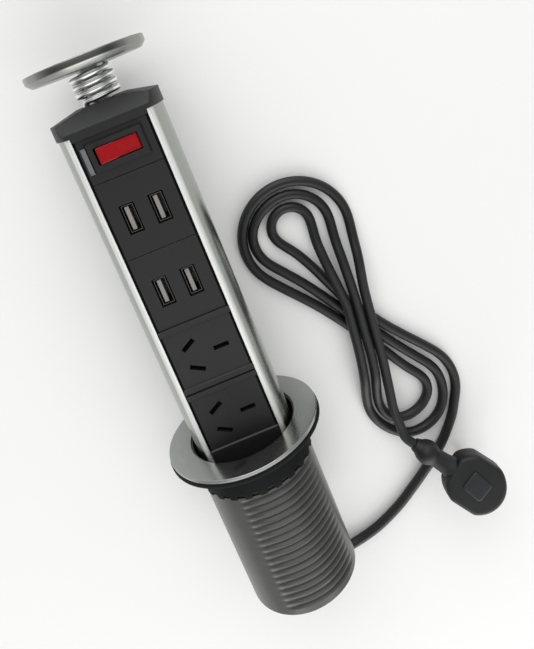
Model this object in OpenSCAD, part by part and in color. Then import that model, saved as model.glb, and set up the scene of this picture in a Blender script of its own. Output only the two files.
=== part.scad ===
// Pull-up desk power tower, lying on its back with its cord coiled beside it.
// Sizes are millimetres. The tower axis runs along Y towards the lid, the socket
// face looks along +Z, and the plane y = 0 is the face that sits on the desk.

/* [Tower] */
// Outer diameter of the tower extrusion
tower_d = 51; // [48:0.5:52]
// Wall thickness of the tower extrusion
tower_wall = 2; // [1.6:0.1:2.4]
// Distance from the tower axis to the flat front of the rails
face_off = 16.5; // [15.5:0.5:17.5]
// How far each rail lip reaches over the tongue of a plate
lip_hold = 0.6; // [0.4:0.1:1]
// How far the plate fronts lie behind the rail fronts
plate_sink = 0.2; // [0:0.1:0.6]
// Thickness of the tongue that holds a plate behind the rail lips
tongue_t = 1.5; // [1.2:0.1:2]
// Height of the lowest outlet plate above the desk face
face_base = 3; // [1:0.5:6]
// Length of the bottom cap
foot_h = 9; // [7:0.5:14]

/* [Switch] */
// Length of the switch plate along the tower
switch_l = 23; // [20:0.5:28]
// Distance of the rocker centre below the top of its plate
rocker_drop = 11.3; // [9:0.1:12]
// Length of the rocker across the tower
rocker_l = 19.2; // [16:0.2:21]
// Width of the rocker along the tower
rocker_w = 7.4; // [6:0.2:9]
// Angle that the rocker rests at
rocker_lean = 8; // [5:0.5:10]
// Height of the bezel round the rocker
bezel_h = 1.6; // [1:0.1:2.4]
// Width of the bezel wall beside the rocker
bezel_wall = 3.2; // [2.6:0.1:4]

/* [USB] */
// Length of each USB plate along the tower
usb_l = 37.5; // [32:0.5:45]
// Distance between the two ports of a plate
usb_pitch = 13.8; // [12:0.1:15]
// Long side of the metal port shell
usb_shell_l = 13.1; // [12.5:0.1:13.5]
// Short side of the metal port shell
usb_shell_w = 5.7; // [5.1:0.1:6.2]
// Wall thickness of the port shell
usb_shell_t = 0.4; // [0.3:0.05:0.6]
// Space between a port shell and its hole in the plate
usb_rim = 0.65; // [0.4:0.05:1]

/* [Outlets] */
// Length of each outlet plate along the tower
outlet_l = 35; // [34:0.5:42]
// Height of the ribs at both ends of an outlet plate
rib_h = 0.8; // [0.4:0.1:1.2]
// Width of those ribs
rib_w = 3.2; // [2:0.1:4]
// Distance between the centres of the two sloping slots
slot_spread = 12.4; // [12:0.01:14]
// Distance from the sloping pair to the straight slot
slot_earth = 14.27; // [13:0.01:15]
// Length of each slot
slot_l = 7.6; // [7:0.1:8.5]
// Width of each slot
slot_w = 2.3; // [1.9:0.1:2.6]

/* [Cap and lid] */
// Height of the top cap at its rim
cap_rim_h = 7; // [7:0.5:10]
// Full height of the top cap
cap_h = 10; // [10:0.5:13]
// Height of the gap between cap and lid that the fingers go in
lid_gap = 15.5; // [14:0.5:18]
// Diameter of the lid
lid_d = 57.4; // [57:0.2:66]
// Thickness of the lid
lid_t = 5.6; // [4.8:0.1:6.4]
// Width of the bevel round the underside of the lid
lid_bevel = 2.4; // [1:0.1:2.5]
// Diameter of the stem that carries the lid
stem_d = 11; // [9:0.5:12]
// How far the lid can be pressed down
press = 2; // [1:0.1:2]
// Outer diameter of the lid spring
spring_od = 21.2; // [19:0.2:22]
// Wire diameter of the lid spring
spring_wire = 2.8; // [2.2:0.1:2.8]
// Number of curls of the lid spring
spring_turns = 3.25; // [2.25:1:3.25]

/* [Sleeve] */
// Diameter of the metal flange ring
flange_d = 80; // [76:0.5:90]
// Thickness of the flange ring at its rim
flange_t = 1.8; // [1.6:0.1:3]
// Thickness of the gasket under the flange
gasket_t = 2.2; // [1.6:0.1:2.6]
// How far the gasket stands out past the flange
gasket_over = 0.4; // [0.2:0.1:0.8]
// Diameter of the collar that fills the desk hole
collar_d = 60.4; // [59:0.1:62]
// Length of the collar below the desk face
collar_h = 16.5; // [13:0.5:18]
// Number of notches in the lower edge of the collar
notch_n = 24; // [12:1:28]
// Depth of those notches
notch_h = 2.4; // [2:0.2:4]
// Bore of the barrel
bore_d = 54.4; // [54:0.1:54.8]
// Diameter across the thread crests of the barrel
crest_d = 58; // [57.8:0.1:58.2]
// Diameter at the thread roots of the barrel
root_d = 55.8; // [55.6:0.1:56.6]
// Length of the barrel below the desk face
barrel_l = 89; // [80:1:120]
// Distance between thread ridges
ridge_pitch = 3.8; // [3:0.1:4.5]
// Angle that each smooth side strip of the barrel covers
strip_angle = 88; // [60:2:110]
// Turn of the threaded sides about the axis, away from the front
thread_turn = 19; // [-30:1:30]
// Depth of the guide bush below the desk face
guide_from = 26; // [25:0.5:32]
// Length of the guide bush
guide_h = 18; // [14:0.5:24]

/* [Cord and plug] */
// Diameter of the cord
cord_d = 5.5; // [5:0.1:5.7]
// Diameter of the plug body
plug_d = 33; // [32:0.5:38]
// Thickness of the plug body
plug_t = 14; // [12:0.5:18]
// Length of the plug pins
pin_l = 17; // [16:0.5:19]
// Width of the plug pins
pin_w = 6.3; // [6:0.1:6.6]
// Thickness of the plug pins
pin_t = 1.6; // [1.4:0.1:1.8]
// Diameter of the bulb on the plug boot
bulb_d = 14; // [12.5:0.5:16]

/* [Clearances] */
// Gap between the sliding caps and the bore of the barrel
slide_gap = 0.4; // [0.3:0.05:0.6]
// Gap between the tower and its guide bush
guide_gap = 0.3; // [0.3:0.05:0.5]
// Gap round a plate in the extrusion
fit_gap = 0.2; // [0.1:0.05:0.3]
// Gap round a turning or sliding pin
pin_gap = 0.3; // [0.3:0.05:0.5]
// Gap between pieces that are glued or screwed together
glue_gap = 0.05; // [0.02:0.01:0.1]

/* [Hidden] */
$fn = 96;

// Radii of the round pieces
tower_r = tower_d / 2;
in_r = tower_r - tower_wall;
bore_r = bore_d / 2;
cap_r = tower_r + 0.8;
foot_r = bore_r - slide_gap;
collar_r = collar_d / 2;
spigot_r = collar_r - 0.5;
crest_r = crest_d / 2;
root_r = root_d / 2;
neck_r = bore_r + 0.9;
flange_r = flange_d / 2;
hole_r = bore_r + 0.8;
lip_r = flange_r - 2;
gasket_r = flange_r + gasket_over;
stem_r = stem_d / 2;
lid_r = lid_d / 2;

// Depths across the tower, measured forwards from its axis
plate_front = face_off - plate_sink;
tongue_front = face_off - tower_wall - fit_gap;
plate_back = tongue_front - tongue_t;
plate_hw = sqrt(in_r * in_r - pow(face_off - tower_wall, 2)) - lip_hold - fit_gap;
tongue_hw = sqrt(in_r * in_r - tongue_front * tongue_front) - fit_gap;
cap_face = face_off + 0.6;
apron_h = 2;
seam = 0.3;

// Heights along the tower, measured up from the desk face
flange_top = gasket_t + flange_t;
lip_top = gasket_t + 1;
z_out2 = face_base;
z_out1 = z_out2 + outlet_l;
z_usb2 = z_out1 + outlet_l;
z_usb1 = z_usb2 + usb_l;
z_switch = z_usb1 + usb_l;
z_cap = z_switch + switch_l;
z_cap_top = z_cap + cap_h;
z_lid = z_cap_top + lid_gap;
z_rocker = z_cap - rocker_drop;
guide_bot = -guide_from - guide_h;
z_foot = guide_bot - guide_gap;
z_foot_bot = z_foot - foot_h;

// Screw channels inside the extrusion
port_r = in_r - 1.6;
port_a = 50;
port_wall_r = 3;
port_hole_r = 1.5;
screw_r = 1.4;
head_r = 2.7;
head_h = 2;
spigot_h = 4;
spigot_face = plate_back - 0.8;

// Rocker and its pivot
rocker_hl = rocker_l / 2;
pivot_off = plate_front - 1.1;
trunnion_r = 1.1;
trunnion_l = 1.4;
rocker_hole_l = rocker_l + 1.5;
rocker_hole_w = rocker_w + 0.6;
bezel_hw = rocker_hole_l / 2 + bezel_wall;
rocker_reach = pivot_off + 2.2 + 2 * rocker_hl * sin(rocker_lean) + 0.2;

// Lid stem inside the cap
clip_t = 1.4;
clip_r = stem_r + 2.4;
groove_r = stem_r - 1;
clip_seat = z_cap + 5;
z_clip = clip_seat - 0.3 - clip_t;
z_stem = z_clip - 1.2;

// Spring centre line: two legs along the axis, two quarter bends and the curls
spring_r = (spring_od - spring_wire) / 2;
leg_bend = 0.75 * spring_wire;
leg_in = spring_wire + 0.2;
leg_hole_r = spring_wire / 2 + pin_gap;
curl_from = z_cap_top + leg_bend;
curl_to = z_lid - leg_bend;
bend_turn = leg_bend / spring_r * 180 / PI;
spring_a = 225;

// Outlet slots: position across, position along and slope of each
slot_mid = -(slot_earth - 0.66) / 2;
SLOTS = [
  [slot_mid, slot_spread / 2, 30],
  [slot_mid, -slot_spread / 2, -30],
  [slot_mid + slot_earth, 0, 0]
];
contact_w = slot_w + 2;
contact_l = slot_l + 0.8;
contact_d = 10;
house_hw = 15.5;
house_back = 2;

// USB depths
shell_front = plate_front - 1.1;
board_front = 3.2;
board_t = 1.6;

// Cord gland in the bottom cap
gland_off = 8;
gland_r = 5;
boot_r = cord_d / 2 + 1.1;
z_gland = z_foot_bot - 3;
z_boot = z_gland - 22;

// Table that the part lies on, and the cord on it
table_z = -gasket_r;
cord_z = table_z + cord_d / 2;

// Turns the upright tower so that it lies on its back
module laid() rotate([-90, 0, 0]) children();

// Round outline with a flat front
module d_outline(r, face) {
  difference() {
    circle(r = r);
    translate([-r, -face - r]) square([2 * r, r]);
  }
}

// Ring between two radii and two heights
module ring(ri, ro, z0, z1) {
  translate([0, 0, z0]) difference() {
    cylinder(r = ro, h = z1 - z0);
    translate([0, 0, -1]) cylinder(r = ri, h = z1 - z0 + 2);
  }
}

// Outline turned to lie in the plane across X, with its first axis along Y
module across_x(w) rotate([90, 0, 90]) linear_extrude(w, center = true) children();

// Box given by its limits
module box(x0, x1, y0, y1, z0, z1)
  translate([x0, y0, z0]) cube([x1 - x0, y1 - y0, z1 - z0]);

// Section of every plate: a front between the rails and a tongue behind their lips
module plate_section() {
  translate([-plate_hw, -plate_front]) square([2 * plate_hw, plate_front - tongue_front + 0.01]);
  translate([-tongue_hw, -tongue_front]) square([2 * tongue_hw, tongue_t]);
}

// Plain plate between two heights
module plate(z0, l) translate([0, 0, z0 + seam / 2]) linear_extrude(l - seam) plate_section();

// Block with sloping sides that stands out of the front of a plate
module raised(w, l, h, slope) {
  foot = plate_front - 0.5;
  top = plate_front + h;
  intersection() {
    translate([0, 0, -l]) linear_extrude(2 * l)
      polygon([[-w / 2, -foot], [-w / 2, -plate_front], [-w / 2 + slope, -top],
        [w / 2 - slope, -top], [w / 2, -plate_front], [w / 2, -foot]]);
    across_x(2 * w)
      polygon([[-foot, -l / 2], [-plate_front, -l / 2], [-top, -l / 2 + slope],
        [-top, l / 2 - slope], [-plate_front, l / 2], [-foot, l / 2]]);
  }
}

// Places its children at both screw channels
module at_ports() for (s = [-1, 1]) translate([s * port_r * sin(port_a), port_r * cos(port_a), 0]) children();

// Places its children at one slot, with the slot's length along X and depth along Y
module at_slots() for (s = SLOTS) translate([s[0], 0, s[1]]) rotate([0, -s[2], 0]) children();

// Pan-head screw whose head rests on z = 0 and whose shank points down
module screw(l) {
  difference() {
    cylinder(r = head_r, h = head_h);
    translate([-2, -0.35, head_h - 0.8]) cube([4, 0.7, 1]);
    translate([-0.35, -2, head_h - 0.8]) cube([0.7, 4, 1]);
  }
  translate([0, 0, -l]) cylinder(r = screw_r, h = l + 0.01);
}

// Tube of a given number of sides swept along points
function unit(v) = v / norm(v);
function heading(P, i) = unit(P[min(i + 1, len(P) - 1)] - P[max(i - 1, 0)]);
function side_of(t, up) = unit(cross(t, up));
function tube_ring(p, t, up, r, n) =
  let(s = side_of(t, up), u = cross(s, t))
  [for (k = [0:n - 1]) p + r * (cos(360 * (k + 0.5) / n) * s + sin(360 * (k + 0.5) / n) * u)];
function tube_points(P, UP, r, n) =
  [for (i = [0:len(P) - 1]) each tube_ring(P[i], heading(P, i), UP[i], r, n)];
function tube_wall(m, n) =
  [for (i = [0:m - 2], k = [0:n - 1], h = [0, 1])
    let(a = i * n + k, b = i * n + (k + 1) % n)
    h == 0 ? [a, a + n, b] : [b, a + n, b + n]];
function tube_ends(m, n) =
  [for (k = [1:n - 2], h = [0, 1])
    h == 0 ? [0, k, k + 1] : [(m - 1) * n, (m - 1) * n + k + 1, (m - 1) * n + k]];
module tube(P, UP, r, n)
  polyhedron(tube_points(P, UP, r, n), concat(tube_wall(len(P), n), tube_ends(len(P), n)));
function level(P) = [for (p = P) [0, 0, 1]];

// Smooth curve through hand-placed points, m steps from each point to the next
function blend(a, b, c, d, t) =
  0.5 * (2 * b + (c - a) * t + (2 * a - 5 * b + 4 * c - d) * t * t + (3 * b - a - 3 * c + d) * t * t * t);
function curve(P, m) =
  [for (i = [1:len(P) - 3], k = [0:m - 1]) blend(P[i - 1], P[i], P[i + 1], P[i + 2], k / m)];

// Least distance between stretches of a path that are not neighbours
function least_gap(P, far) =
  min([for (i = [0:len(P) - 1], j = [i + far:1:len(P) - 1]) norm(P[i] - P[j])]);
function refine(P, m) =
  [for (i = [0:len(P) - 2], k = [0:m - 1]) P[i] + (P[i + 1] - P[i]) * k / m];

// Hank: a figure of eight of arcs round two centres, joined by straight crossings.
// The upper arcs grow by one step from turn to turn while the lower arcs shrink,
// so that the strands of a crossing stay side by side.
hank_mid = [79.2, 9.3];
hank_lean = 13;
hank_up = 66;
hank_low = 52;
hank_step = cord_d + 1;
fold_r = 17;
hank_d = hank_up + hank_low;
rise_sum = 2 * fold_r + 2 * hank_step;
fall_sum = 2 * fold_r + hank_step;
rise_a = asin(rise_sum / hank_d);
fall_a = asin(fall_sum / hank_d);
hump = cord_d + 0.8;
fall_l = hank_d * cos(fall_a);
rise_l = hank_d * cos(rise_a);
arc_n = 15;

// Point of the hank from its local position across, along and above the table
function hank_xyz(u, v, h) = [
  hank_mid[0] + u * cos(hank_lean) - v * sin(hank_lean),
  hank_mid[1] + u * sin(hank_lean) + v * cos(hank_lean),
  cord_z + h];
function ease(t) = let(c = min(1, max(0, t))) c * c * (3 - 2 * c);
function over(s) = hump * ease((s - 8) / 30) * ease((fall_l - s) / 30);
// Arc over the top, from the end of a rising crossing to the start of a falling one
function up_arc(r) = [for (i = [0:arc_n])
  let(a = 180 + rise_a - (180 + rise_a + fall_a) * i / arc_n)
  hank_xyz(r * cos(a), hank_up + r * sin(a), 0)];
// Arc round the bottom, from the end of a falling crossing to the start of a rising one
function low_arc(r) = [for (i = [0:arc_n])
  let(a = 180 - fall_a + (180 + fall_a + rise_a) * i / arc_n)
  hank_xyz(r * cos(a), -hank_low + r * sin(a), 0)];
// Falling crossing that leaves an upper arc, lifted over the rising ones
function fall(r, s0, s1, n) = [for (i = [0:n])
  let(s = s0 + (s1 - s0) * i / n)
  hank_xyz(r * cos(fall_a) - s * sin(fall_a), hank_up - r * sin(fall_a) - s * cos(fall_a), over(s))];
// Rising crossing that leaves a lower arc, flat on the table
function rise(r, n) = [for (i = [1:n - 1])
  let(s = rise_l * i / n)
  hank_xyz(r * cos(rise_a) - s * sin(rise_a), -hank_low + r * sin(rise_a) + s * cos(rise_a), 0)];
// First stretch of the hank, on the largest lower arc
start_r = fold_r + 2 * hank_step;
start_a = -40;
hank_in = [for (i = [0:4])
  let(a = start_a + (rise_a - start_a) * i / 4)
  hank_xyz(start_r * cos(a), -hank_low + start_r * sin(a), 0)];
tail_s = 88;
hank_path = concat(
  hank_in, rise(start_r, 5), up_arc(fold_r),
  fall(fold_r, fall_l / 10, 0.9 * fall_l, 8), low_arc(fold_r + hank_step), rise(fold_r + hank_step, 5),
  up_arc(fold_r + hank_step),
  fall(fold_r + hank_step, fall_l / 10, 0.9 * fall_l, 8), low_arc(fold_r), rise(fold_r, 5),
  up_arc(fold_r + 2 * hank_step),
  fall(fold_r + 2 * hank_step, fall_l / 10, tail_s, 7));
hank_end = hank_path[len(hank_path) - 1];
hank_go = unit(hank_end - hank_path[len(hank_path) - 2]);
hank_first = hank_path[0];
hank_from = unit(hank_path[1] - hank_path[0]);
hank_gap = least_gap(refine(hank_path, 3), 24) - cord_d;
echo(hank_gap = hank_gap);

// Plug, tipped on its pins so that its back looks up along the table, with its boot
// pointing back to the hank
plug_at = [106, -95.3];
plug_face = 104.5;
plug_lean = 18;
plug_turn = 22.5;
plug_r = plug_d / 2;
pin_reach = 3.96 + slot_l / 4;
plug_z = table_z + (plug_t / 2 + pin_l) * cos(plug_lean) + pin_reach * sin(plug_lean);
boot_from = plug_r - 1.6;
boot_to = 38;
tip = [cos(plug_turn) * cos(plug_lean), sin(plug_turn), -cos(plug_turn) * sin(plug_lean)];
boot_go = [
  tip[0] * cos(plug_face) - tip[1] * sin(plug_face),
  tip[0] * sin(plug_face) + tip[1] * cos(plug_face),
  tip[2]];
boot_end = [plug_at[0], plug_at[1], plug_z] + (boot_to + glue_gap) * boot_go;

// Last stretch of the cord, from the hank up to the plug boot
tail_from = hank_end + 3 * glue_gap * hank_go;
tail_pts = [
  tail_from - cord_d * hank_go, tail_from,
  [81.4, -31, cord_z + 6.8], [79.6, -44, cord_z + 7.4], [80, -55.5, cord_z + 8.3],
  boot_end + 1.2 * cord_d * boot_go, boot_end + glue_gap * boot_go, boot_end - cord_d * boot_go];
tail_path = concat(curve(tail_pts, 3), [boot_end + glue_gap * boot_go]);

// First stretch of the cord, from the gland over the table to the hank
lead_to = hank_first - 3 * glue_gap * hank_from;
lead_pts = [
  [0, z_boot + cord_d, -gland_off], [0, z_boot - glue_gap, -gland_off],
  [0, z_boot - 1.2 * cord_d, -gland_off],
  [1.5, -98, cord_z + 24], [6, -110, cord_z + 15], [15, -118.8, cord_z + 6],
  [28.5, -122.4, cord_z + 0.6], [45.5, -118.8, cord_z], [62, -111, cord_z], [75.3, -102, cord_z],
  [86, -94, cord_z], [95, -86.7, cord_z], [103.5, -77.8, cord_z],
  lead_to - 13 * hank_from, lead_to - cord_d * hank_from, lead_to,
  lead_to + cord_d * hank_from];
lead_path = concat(curve(lead_pts, 2), [lead_to]);

// Sleeve body

module barrel() {
  groove_n = floor((barrel_l - collar_h - 3) / ridge_pitch);
  groove_a = 180 - strip_angle;
  deep = crest_r - root_r;
  color([0.33, 0.345, 0.325]) laid() difference() {
    rotate_extrude() polygon([[bore_r, -barrel_l], [bore_r, lip_top], [neck_r, lip_top], [neck_r, -collar_h],
      [crest_r, -collar_h], [crest_r, -barrel_l]]);
    for (i = [0:groove_n - 1], a = [90, 270])
      translate([0, 0, -collar_h - 0.8 - (i + 0.5) * ridge_pitch]) rotate(a + thread_turn - groove_a / 2)
        rotate_extrude(angle = groove_a) polygon([[root_r, -0.1 * ridge_pitch], [root_r, 0.1 * ridge_pitch],
          [crest_r + deep, 0.66 * ridge_pitch], [crest_r + deep, -0.66 * ridge_pitch]]);
  }
}

module head_collar() {
  tooth = 2 * PI * collar_r / notch_n / 2;
  color([0.11, 0.125, 0.13]) laid() difference() {
    rotate_extrude() polygon([
      [neck_r + glue_gap, -collar_h], [neck_r + glue_gap, lip_top], [lip_r, lip_top],
      [lip_r, gasket_t], [spigot_r, gasket_t], [spigot_r, 0], [collar_r, 0], [collar_r, -collar_h]]);
    for (i = [0:notch_n - 1]) rotate((i + 0.5) * 360 / notch_n)
      box(neck_r - 3, collar_r + 2, -tooth / 2, tooth / 2, -collar_h - 1, -collar_h + notch_h);
  }
}

module flange_ring() {
  edge = 0.8;
  color([0.6, 0.63, 0.6]) laid() rotate_extrude() polygon(concat(
    [[hole_r, lip_top], [hole_r, flange_top - 0.5], [hole_r + 0.5, flange_top]],
    [for (i = [0:6]) let(a = 90 - 15 * i)
      [flange_r - edge + edge * cos(a), flange_top - edge + edge * sin(a)]],
    [[flange_r, gasket_t], [lip_r + 0.1, gasket_t], [lip_r + 0.1, lip_top]]));
}

module gasket()
  color([0.06, 0.06, 0.065]) laid() ring(collar_r + glue_gap, gasket_r, 0, gasket_t);

module guide_bush() {
  color([0.08, 0.08, 0.085]) laid() difference() {
    translate([0, 0, guide_bot]) linear_extrude(guide_h) difference() {
      circle(r = bore_r - glue_gap);
      d_outline(tower_r + guide_gap, face_off + guide_gap);
    }
    box(-plate_hw - 0.6, plate_hw + 0.6, -plate_front - rib_h - 0.4, 0, guide_bot - 1, 1 - guide_from);
    box(-bezel_hw - 0.6, bezel_hw + 0.6, -rocker_reach - 0.6, 0, guide_bot - 1, 1 - guide_from);
    for (s = [-1, 1])
      box(s * (bore_r - 1) - 1.4, s * (bore_r - 1) + 1.4, -4, 4, guide_bot + 3, guide_bot + guide_h - 3);
  }
}

module guide_pads() {
  color([0.3, 0.3, 0.32]) laid() for (s = [-1, 1]) intersection() {
    ring(tower_r + guide_gap + 0.05, bore_r - glue_gap, guide_bot, guide_bot + guide_h);
    box(s * (bore_r - 1) - 1.4 + glue_gap, s * (bore_r - 1) + 1.4 - glue_gap, -4 + glue_gap, 4 - glue_gap,
      guide_bot + 3 + glue_gap, guide_bot + guide_h - 3 - glue_gap);
  }
}

// Tower body

module tower_profile() {
  color([0.8, 0.81, 0.8]) laid() translate([0, 0, z_foot]) linear_extrude(z_cap - z_foot) difference() {
    union() {
      difference() {
        d_outline(tower_r, face_off);
        d_outline(in_r, face_off - tower_wall);
      }
      at_ports() circle(r = port_wall_r);
    }
    translate([-plate_hw - fit_gap, -tower_r]) square([2 * (plate_hw + fit_gap), tower_r - 5]);
    at_ports() circle(r = port_hole_r);
  }
}

// Part of a cap that goes inside the extrusion
module spigot() {
  difference() {
    d_outline(in_r - fit_gap, spigot_face);
    at_ports() circle(r = port_wall_r + fit_gap);
  }
}

module top_cap() {
  flat_r = spring_od / 2 + 2.2;
  color([0.09, 0.09, 0.095]) laid() difference() {
    union() {
      intersection() {
        translate([0, 0, z_cap]) linear_extrude(cap_h) d_outline(cap_r, cap_face);
        rotate_extrude() polygon([[0, z_cap], [cap_r, z_cap], [cap_r, z_cap + cap_rim_h],
          [flat_r, z_cap_top], [0, z_cap_top]]);
      }
      translate([0, 0, z_cap - spigot_h]) linear_extrude(spigot_h + 0.01) spigot();
      box(-plate_hw, plate_hw, -cap_face, -plate_front - glue_gap, z_cap - apron_h, z_cap + 0.01);
    }
    translate([0, 0, z_cap - 20]) cylinder(r = stem_r + pin_gap, h = cap_h + 40);
    translate([0, 0, z_cap - 20]) cylinder(r = clip_r + 0.8, h = clip_seat - z_cap + 20);
    rotate(spring_a) translate([spring_r, 0, z_cap_top - leg_in]) cylinder(r = leg_hole_r, h = leg_in + 1);
    at_ports() translate([0, 0, z_cap - 1]) cylinder(r = screw_r + fit_gap, h = cap_h + 2);
    at_ports() translate([0, 0, z_cap + 4]) cylinder(r = head_r + fit_gap, h = cap_h);
    across_x(4 * cap_r) polygon([[-cap_face - 1, z_cap + apron_h], [-cap_face, z_cap + apron_h],
      [-cap_face + 5, z_cap_top + 0.3], [-cap_face - 1, z_cap_top + 0.3]]);
  }
}

module cap_screws()
  color([0.7, 0.7, 0.72]) laid() at_ports() translate([0, 0, z_cap + 4]) screw(14);

module bottom_cap() {
  color([0.09, 0.09, 0.095]) laid() difference() {
    union() {
      rotate_extrude() polygon([[0, z_foot_bot], [foot_r - 1.5, z_foot_bot], [foot_r, z_foot_bot + 1.5],
        [foot_r, z_foot], [0, z_foot]]);
      translate([0, 0, z_foot - 0.01]) linear_extrude(spigot_h) spigot();
    }
    translate([0, gland_off, z_foot_bot - 1]) cylinder(r = gland_r + glue_gap, h = foot_h + spigot_h + 2);
    at_ports() translate([0, 0, z_foot_bot - 1]) cylinder(r = screw_r + fit_gap, h = foot_h + 2);
    at_ports() translate([0, 0, z_foot_bot - 1]) cylinder(r = head_r + fit_gap, h = foot_h - 3);
  }
}

module foot_screws() {
  color([0.7, 0.7, 0.72]) laid() at_ports()
    translate([0, 0, z_foot_bot + foot_h - 4]) rotate([180, 0, 0]) screw(14);
}

module switch_plate() {
  color([0.17, 0.17, 0.175]) laid() difference() {
    union() {
      plate(z_switch, switch_l);
      translate([0, 0, z_rocker])
        raised(rocker_hole_l + 2 * bezel_wall, rocker_hole_w + 2 * bezel_wall, bezel_h, 0.9);
    }
    box(-rocker_hole_l / 2, rocker_hole_l / 2, -plate_front - 9, 0,
      z_rocker - rocker_hole_w / 2, z_rocker + rocker_hole_w / 2);
    translate([0, -pivot_off, z_rocker - rocker_w / 2 - trunnion_l - pin_gap])
      cylinder(r = trunnion_r + pin_gap, h = rocker_w + 2 * trunnion_l + 2 * pin_gap, $fn = 48);
  }
}

module switch_body() {
  color([0.1, 0.1, 0.1]) laid() {
    difference() {
      box(-rocker_hl - 1, rocker_hl + 1, -plate_back, -3.5, z_rocker - 5, z_rocker + 5);
      box(-rocker_hl + 1, rocker_hl - 1, -plate_back - 1, -7, z_rocker - 3.4, z_rocker + 3.4);
    }
    for (x = [-5, 5]) box(x - 2.4, x + 2.4, -3.6, 2, z_rocker - 0.4, z_rocker + 0.4);
  }
}

module rocker() {
  dish = rocker_hl * tan(rocker_lean);
  color([0.6, 0.1, 0.11]) laid() translate([0, -pivot_off, z_rocker]) rotate(rocker_lean) {
    translate([0, 0, -rocker_w / 2]) linear_extrude(rocker_w)
      polygon([[-rocker_hl, -2.2 - dish], [0, -2.2], [rocker_hl, -2.2 - dish],
        [rocker_hl, -0.6], [4, 1.2], [-4, 1.2], [-rocker_hl, -0.6]]);
    translate([0, 0, -rocker_w / 2 - trunnion_l])
      cylinder(r = trunnion_r, h = rocker_w + 2 * trunnion_l, $fn = 48);
  }
}

// Places its children at the two ports of a USB plate that starts at a height
module at_usb(z0) for (s = [-1, 1]) translate([s * usb_pitch / 2, 0, z0 + usb_l / 2 - 1]) children();

module usb_plate(z0) {
  hole_w = usb_shell_w + 2 * usb_rim;
  hole_l = usb_shell_l + 2 * usb_rim;
  color([0.17, 0.17, 0.175]) laid() difference() {
    plate(z0, usb_l);
    at_usb(z0) box(-hole_w / 2, hole_w / 2, -plate_front - 1, 0, -hole_l / 2, hole_l / 2);
  }
}

module usb_shells(z0) {
  wi = usb_shell_w / 2 - usb_shell_t;
  li = usb_shell_l / 2 - usb_shell_t;
  color([0.8, 0.8, 0.82]) laid() at_usb(z0) difference() {
    box(-usb_shell_w / 2, usb_shell_w / 2, -shell_front, -board_front, -usb_shell_l / 2, usb_shell_l / 2);
    box(-wi, wi, -shell_front - 1, 0, -li, li);
  }
}

module usb_tongues(z0) {
  li = usb_shell_l / 2 - usb_shell_t - 0.6;
  color([0.12, 0.12, 0.13]) laid() at_usb(z0) {
    box(-1.5, 0.4, -shell_front + 0.4, -board_front - 1.5, -li, li);
    box(-usb_shell_w / 2 + 0.6, usb_shell_w / 2 - 0.6, -board_front - 1.6, -board_front, -li, li);
  }
}

module usb_board(z0) {
  color([0.1, 0.3, 0.2]) laid() difference() {
    box(-house_hw, house_hw, -board_front, board_t - board_front, z0 + 2, z0 + usb_l - 2);
    for (x = [-12, 12], z = [5, usb_l - 5])
      translate([x, 0, z0 + z]) rotate([90, 0, 0]) cylinder(r = 1.2, h = 20, center = true, $fn = 32);
  }
}

module outlet_plate(z0) {
  color([0.17, 0.17, 0.175]) laid() difference() {
    union() {
      plate(z0, outlet_l);
      for (z = [rib_w / 2 + seam / 2, outlet_l - rib_w / 2 - seam / 2])
        translate([0, 0, z0 + z]) raised(2 * plate_hw, rib_w, rib_h, 0.5);
    }
    translate([0, 0, z0 + outlet_l / 2]) at_slots()
      box(-slot_l / 2, slot_l / 2, -plate_front - 1, 0, -slot_w / 2, slot_w / 2);
  }
}

module outlet_housing(z0) {
  color([0.2, 0.2, 0.2]) laid() translate([0, 0, z0 + outlet_l / 2]) difference() {
    box(-house_hw, house_hw, -plate_back, house_back, 2 - outlet_l / 2, outlet_l / 2 - 2);
    at_slots() box(-contact_l / 2 - 0.15, contact_l / 2 + 0.15, -plate_back - 1, contact_d - plate_back,
      -contact_w / 2 - 0.15, contact_w / 2 + 0.15);
  }
}

module outlet_contacts(z0) {
  color([0.75, 0.6, 0.28]) laid() translate([0, 0, z0 + outlet_l / 2]) at_slots() difference() {
    box(-contact_l / 2, contact_l / 2, 0.2 - plate_back, contact_d - plate_back, -contact_w / 2, contact_w / 2);
    box(-contact_l, contact_l, -plate_back - 1, contact_d - plate_back - 1,
      -slot_w / 2 + 0.3, slot_w / 2 - 0.3);
  }
}

module usb_plate_1() usb_plate(z_usb1);
module usb_plate_2() usb_plate(z_usb2);
module usb_shells_1() usb_shells(z_usb1);
module usb_shells_2() usb_shells(z_usb2);
module usb_tongues_1() usb_tongues(z_usb1);
module usb_tongues_2() usb_tongues(z_usb2);
module usb_board_1() usb_board(z_usb1);
module usb_board_2() usb_board(z_usb2);
module outlet_plate_1() outlet_plate(z_out1);
module outlet_plate_2() outlet_plate(z_out2);
module outlet_housing_1() outlet_housing(z_out1);
module outlet_housing_2() outlet_housing(z_out2);
module outlet_contacts_1() outlet_contacts(z_out1);
module outlet_contacts_2() outlet_contacts(z_out2);

module blank_plate()
  color([0.17, 0.17, 0.175]) laid() plate(z_foot, z_out2 - z_foot);

module cord_gland() {
  color([0.1, 0.1, 0.1]) laid() translate([0, gland_off, 0]) rotate_extrude() polygon([
    [0, z_boot], [boot_r, z_boot], [boot_r + 2, z_gland], [gland_r + 3, z_gland],
    [gland_r + 3, z_foot_bot], [gland_r, z_foot_bot], [gland_r, z_foot + spigot_h], [0, z_foot + spigot_h]]);
}

module wire_loom() {
  color([0.35, 0.2, 0.12]) laid() for (p = [[-2.6, 7], [2.6, 7], [0, 11]])
    translate([p[0], p[1], z_foot + spigot_h]) cylinder(r = 1.2, h = z_usb1 - z_foot, $fn = 32);
}

// Lid body

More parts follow.
